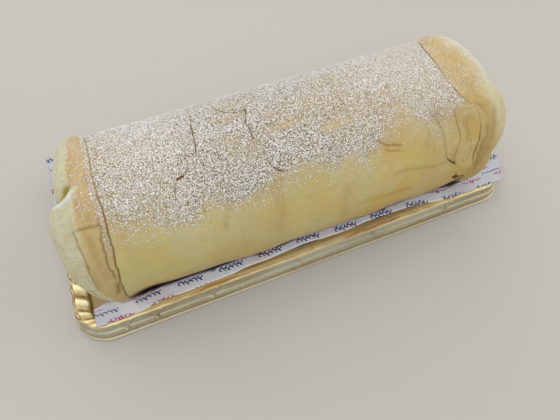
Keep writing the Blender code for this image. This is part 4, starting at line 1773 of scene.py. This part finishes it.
@dataclass
class Tray:
    """A shallow tray pressed from gold film: lip, ledge, ribbed wall, rim, fluted wall and floor."""

    length: float = 0.302
    width: float = 0.104
    corner: float = 0.022
    sheet: float = 0.0006
    columns: int = 760
    crimp_places: tuple[float, ...] = (-0.121, -0.103, -0.068, -0.010, 0.043, 0.098)
    end_shift: float = 0.0026
    side_shift: float = 0.0012
    flute_pitch: float = 0.0098
    # Insets of the painted shade lines on the lip, their width, and the inset of the rim's painted shade
    # line.
    lip_lines: tuple[float, float] = (0.00135, 0.0022)
    line_width: float = 0.00014
    rim_line: float = 0.0088
    crimp_height: float = 0.0010
    crimp_width: float = 0.0007
    crimp_lean: float = 0.8
    crimp_foot: float = 0.0066
    bulge_height: float = 0.0013
    scallop_depth: float = 0.0020
    rib_height: float = 0.00012
    section: Points = (
        (0.00, 1.0), (0.55, 1.05), (1.0, 1.1), (1.25, 1.6), (1.45, 3.0), (1.7, 5.4), (2.0, 6.2),
        (2.5, 6.55), (3.1, 6.6), (3.45, 6.9), (3.7, 8.2), (3.95, 9.8), (4.2, 11.4), (4.45, 12.1),
        (4.9, 12.42), (5.4, 12.5), (7.0, 12.45), (8.8, 12.5), (9.3, 12.4), (9.75, 12.0), (10.1, 11.2),
        (10.7, 9.3), (11.3, 7.4), (11.9, 5.5), (12.5, 3.6), (12.9, 2.2), (13.3, 1.4), (14.0, 0.95),
        (15.0, 0.85), (17.0, 0.8), (19.0, 0.8),
    )

    def outline(self, share: Array) -> tuple[Array, Array]:
        """Points of the outer edge and their outward directions.

        Args:
            share: 0 to 1 round the edge, from the middle of the near side.

        Returns:
            The points and the directions, X and Y each.
        """
        a = self.length / 2.0 - self.corner
        b = self.width / 2.0 - self.corner
        quarter = self.corner * np.pi / 2.0
        lengths = np.array([a, quarter, 2.0 * b, quarter, 2.0 * a, quarter, 2.0 * b, quarter, a])
        ends = np.concatenate([[0.0], np.cumsum(lengths)])
        way = share * ends[-1]
        stretch = np.clip(np.searchsorted(ends, way, side="right") - 1, 0, 8)
        t = (way - ends[stretch]) / lengths[stretch]
        starts = np.array([(0, -b), (a, -b), (a, -b), (a, b), (a, b), (-a, b), (-a, b), (-a, -b), (-a, -b)])
        moves = np.array([(a, 0), (0, 0), (0, 2 * b), (0, 0), (-2 * a, 0), (0, 0), (0, -2 * b), (0, 0),
                          (a, 0)])
        first = np.array([-90, -90, 0, 0, 90, 90, 180, 180, 270])
        turns = np.array([0, 90, 0, 90, 0, 90, 0, 90, 0])
        angle = np.radians(first[stretch] + turns[stretch] * t)
        normal = np.stack([np.cos(angle), np.sin(angle)], axis=1)
        centre = starts[stretch] + moves[stretch] * t[:, None]
        return centre + normal * self.corner, normal

    def build(self, material: bpy.types.Material) -> bpy.types.Object:
        """Model the tray and dress it.

        Args:
            material: The gold plastic.

        Returns:
            The finished piece.
        """
        rows = len(self.section) - 1
        piece = add_grid("gold_tray", self.columns, rows)
        grid = read_points(piece)
        edge, normal = self.outline(grid[:, 0] % 1.0)
        insets, heights = (np.array(side) * MM for side in zip(*self.section))
        step = grid[:, 1] * rows
        inset = np.interp(step, np.arange(rows + 1), insets)
        z = np.interp(step, np.arange(rows + 1), heights)
        perimeter = 2.0 * (self.length + self.width) - 8.0 * self.corner + 2.0 * np.pi * self.corner
        around = grid[:, 0] * perimeter
        flutes = round(perimeter / self.flute_pitch)
        wave = np.abs(np.cos(np.pi * flutes * grid[:, 0]))
        level = inset.copy()
        at_end = ramp(np.abs(normal[:, 0]), 0.25, 0.85)
        inner = ramp(level, 0.0094, 0.0108) * ramp(level, 0.0134, 0.0122)
        bulge = self.bulge_height * inner * (wave**0.7 - 0.45) * (0.3 + 0.7 * at_end)
        scallop = self.scallop_depth * wave**0.8 * ramp(level, 0.0066, 0.0088) * ramp(level, 0.0130, 0.0100)
        scallop = scallop * (0.12 + 0.88 * at_end)
        wall = ramp(level, 0.0010, 0.0015) * ramp(level, 0.0048, 0.0041)
        long_side = np.abs(normal[:, 1]) > 0.99
        lean = (z - self.crimp_foot) * self.crimp_lean
        # Painted shade lines along the lip's creases, and beside each crimp below.
        shade_lines = sum(np.exp(-(((level - place) / self.line_width) ** 2)) for place in self.lip_lines)
        for place in self.crimp_places:
            for turn in (-1.0, 1.0):
                away = edge[:, 0] - place - turn * lean
                bulge += self.crimp_height * wall * long_side * np.exp(-((away / self.crimp_width) ** 2))
                shade_lines += 0.8 * wall * long_side * np.exp(-(((away - 0.0012) / 0.0004) ** 2))
        ribs = ramp(level, 0.0048, 0.0054) * ramp(level, 0.0092, 0.0086) * np.sin(around * 420.0)
        z = z + self.rib_height * ribs
        inset = inset - np.where(level > 0.007, scallop - bulge, bulge)
        inset = inset - self.end_shift * at_end * ramp(level, 0.0052, 0.0082)
        along_side = (1.0 - at_end) * ramp(level, 0.0080, 0.0092) * ramp(level, 0.0150, 0.0120)
        inset = inset + self.side_shift * along_side
        points = np.column_stack([edge - normal * inset[:, None], z])
        write_points(piece, points)
        write_field(piece, "gold", 0.45 * ramp(level, 0.0012, 0.0002) + ramp(level, 0.0042, 0.0047))
        # Painted shade lines, and one along the rim's inner edge.
        write_field(piece, "line", shade_lines + 0.8 * np.exp(-(((level - self.rim_line) / 0.0003) ** 2)))
        # Painted highlights on the flutes of the end walls.
        shine = ramp(wave, 0.25, 0.75) * (0.65 + 0.35 * np.sin(grid[:, 0] * 517.0))
        pale = at_end * ramp(level, 0.0090, 0.0098) * ramp(level, 0.0128, 0.0118)
        write_field(piece, "flute_highlight", pale * shine)
        # Painted shade on the long sides' inner walls and on the floor, under the cake.
        beyond_rim = (1.0 - at_end) * ramp(level, 0.0097, 0.0104)
        write_field(piece, "floor", ramp(level, 0.0122, 0.0134) + beyond_rim)
        close_up(piece, 2e-6)
        self.add_floor(piece)
        apply_modifier(piece, "SOLIDIFY", thickness=self.sheet, offset=-1.0)
        piece.data.shade_smooth()
        finish_piece(piece, material, ["tray"])
        return piece

    def add_floor(self, piece: bpy.types.Object) -> None:
        """Close the inner ring with a flat floor, and turn every face outwards.

        Args:
            piece: The tray, open at its lip and at its inner ring.
        """
        select_only(piece)
        bpy.ops.object.mode_set(mode="EDIT")
        bpy.ops.mesh.select_mode(type="EDGE")
        bpy.ops.mesh.select_all(action="DESELECT")
        bpy.ops.object.mode_set(mode="OBJECT")
        points = read_points(piece)
        pairs = np.empty(len(piece.data.edges) * 2, int)
        piece.data.edges.foreach_get("vertices", pairs)
        pairs = pairs.reshape(-1, 2)
        uses = np.zeros(len(piece.data.edges), int)
        members = np.empty(len(piece.data.loops), int)
        piece.data.loops.foreach_get("edge_index", members)
        np.add.at(uses, members, 1)
        below_lip = (self.section[0][1] + self.section[-1][1]) / 2.0 * MM
        low = points[pairs, 2].max(axis=1) < below_lip
        piece.data.edges.foreach_set("select", (uses == 1) & low)
        bpy.ops.object.mode_set(mode="EDIT")
        bpy.ops.mesh.edge_face_add()
        bpy.ops.mesh.select_all(action="SELECT")
        bpy.ops.mesh.normals_make_consistent(inside=False)
        bpy.ops.object.mode_set(mode="OBJECT")
        floor = max(piece.data.polygons, key=lambda face: len(face.vertices))
        if floor.normal.z < 0.0:
            piece.data.flip_normals()


# ---------------------------------------------------------------- studio


@dataclass(frozen=True)
class Studio:
    """A plain pale floor, soft lights and the camera."""

    floor_colour: Colour = (0.575, 0.530, 0.470)
    sky: Colour = (0.86, 0.93, 1.0)
    sky_strength: float = 0.55
    camera_place: Triple = (-0.0599, -0.1414, 0.2633)
    camera_turn: Triple = (29.0, 0.0, -21.5)
    lens: float = 27.64
    lights: tuple[tuple[str, Triple, float, float, Colour], ...] = (
        ("key", (-0.15, 0.75, 1.05), 1.7, 9.0, (1.0, 0.98, 0.95)),
        ("fill", (-0.45, -0.55, 1.0), 0.9, 3.1, (0.94, 0.97, 1.0)),
        ("side", (0.95, -0.15, 0.7), 0.9, 3.0, (1.0, 0.97, 0.92)),
    )

    def add_floor(self) -> None:
        """Add the floor."""
        deselect()
        bpy.ops.mesh.primitive_plane_add(size=6.0, location=(0.0, 0.0, -0.0004))
        floor = bpy.context.object
        floor.name = "floor"
        finish = Finish("pale_floor", Roughness=0.6)
        tone = finish.noise(0.4, 3.0)
        colour = finish.blend(tone, self.floor_colour, tuple(c * 0.96 for c in self.floor_colour))
        floor.data.materials.append(finish.wire(Base_Color=colour))

    def add_light(self, name: str, place: Triple, size: float, power: float, colour: Colour) -> None:
        """Add a square soft light that faces the cake.

        Args:
            name: The light's name.
            place: Where it is.
            size: Its width.
            power: Its power in watts.
            colour: Its colour.
        """
        deselect()
        bpy.ops.object.light_add(type="AREA", location=place)
        light = bpy.context.object
        light.name = name
        light.data.size = size
        light.data.energy = power
        light.data.color = colour
        aim = Vector((0.0, 0.0, 0.04)) - Vector(place)
        light.rotation_euler = aim.to_track_quat("-Z", "Y").to_euler()

    def add_camera(self) -> None:
        """Add the camera and make it the scene's."""
        turn = [math.radians(angle) for angle in self.camera_turn]
        bpy.ops.object.camera_add(location=self.camera_place, rotation=turn)
        camera = bpy.context.object
        camera.data.lens = self.lens
        camera.data.sensor_width = 36.0
        camera.data.clip_start = 0.01
        bpy.context.scene.camera = camera

    def build(self) -> None:
        """Set up the floor, the lights, the sky and the camera."""
        self.add_floor()
        for name, place, size, power, colour in self.lights:
            self.add_light(name, place, size, power, colour)
        scene = bpy.context.scene
        scene.view_settings.view_transform = "Standard"
        world = bpy.data.worlds.new("sky")
        world.use_nodes = True
        world.node_tree.nodes["Background"].inputs["Color"].default_value = (*self.sky, 1.0)
        world.node_tree.nodes["Background"].inputs["Strength"].default_value = self.sky_strength
        scene.world = world
        self.add_camera()


# ---------------------------------------------------------------- assembly


def dust_with_sugar(roll: SpongeRoll, ends: Sequence[FoldedEnd], material: bpy.types.Material) -> None:
    """Scatter two kinds of loose sugar over the dusted skin.

    Args:
        roll: The main sponge.
        ends: The folded ends.
        material: The sugar's material.
    """
    kinds = (
        SugarGrains("sugar_powder", 24000, 0.00030, 0.00070, True, 0.55, 61),
        SugarGrains("sugar_clumps", 1800, 0.0005, 0.0009, False, 0.42, 62),
    )
    for kind in kinds:
        draw = np.random.default_rng(kind.seed)
        tries = int(kind.count * kind.spare)
        found = [scatter(roll.surface, roll.sugar_low, roll.sugar_high, tries, draw, kind.power)]
        for end in ends:
            found.append(scatter(end.surface, end.sugar_low, end.sugar_high, tries // 6, draw, kind.power))
        spots = np.concatenate([pair[0] for pair in found])
        normals = np.concatenate([pair[1] for pair in found])
        order = draw.permutation(len(spots))[:kind.count]
        kind.build(spots[order], normals[order], material)


def main() -> None:
    """Build the cake, its liner, its tray and the studio."""
    logging.basicConfig(level=logging.INFO, format="%(message)s")
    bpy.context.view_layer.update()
    sponge = SpongeFinish().build()
    roll = SpongeRoll()
    roll.build(sponge)
    ends = (left_end(), right_end())
    for end in ends:
        end.build(sponge)
    dust_with_sugar(roll, ends, SugarFinish().build())
    PaperLiner().build(PaperFinish().build())
    Tray().build(GoldPlasticFinish().build())
    Studio().build()


if __name__ == "__main__":
    main()
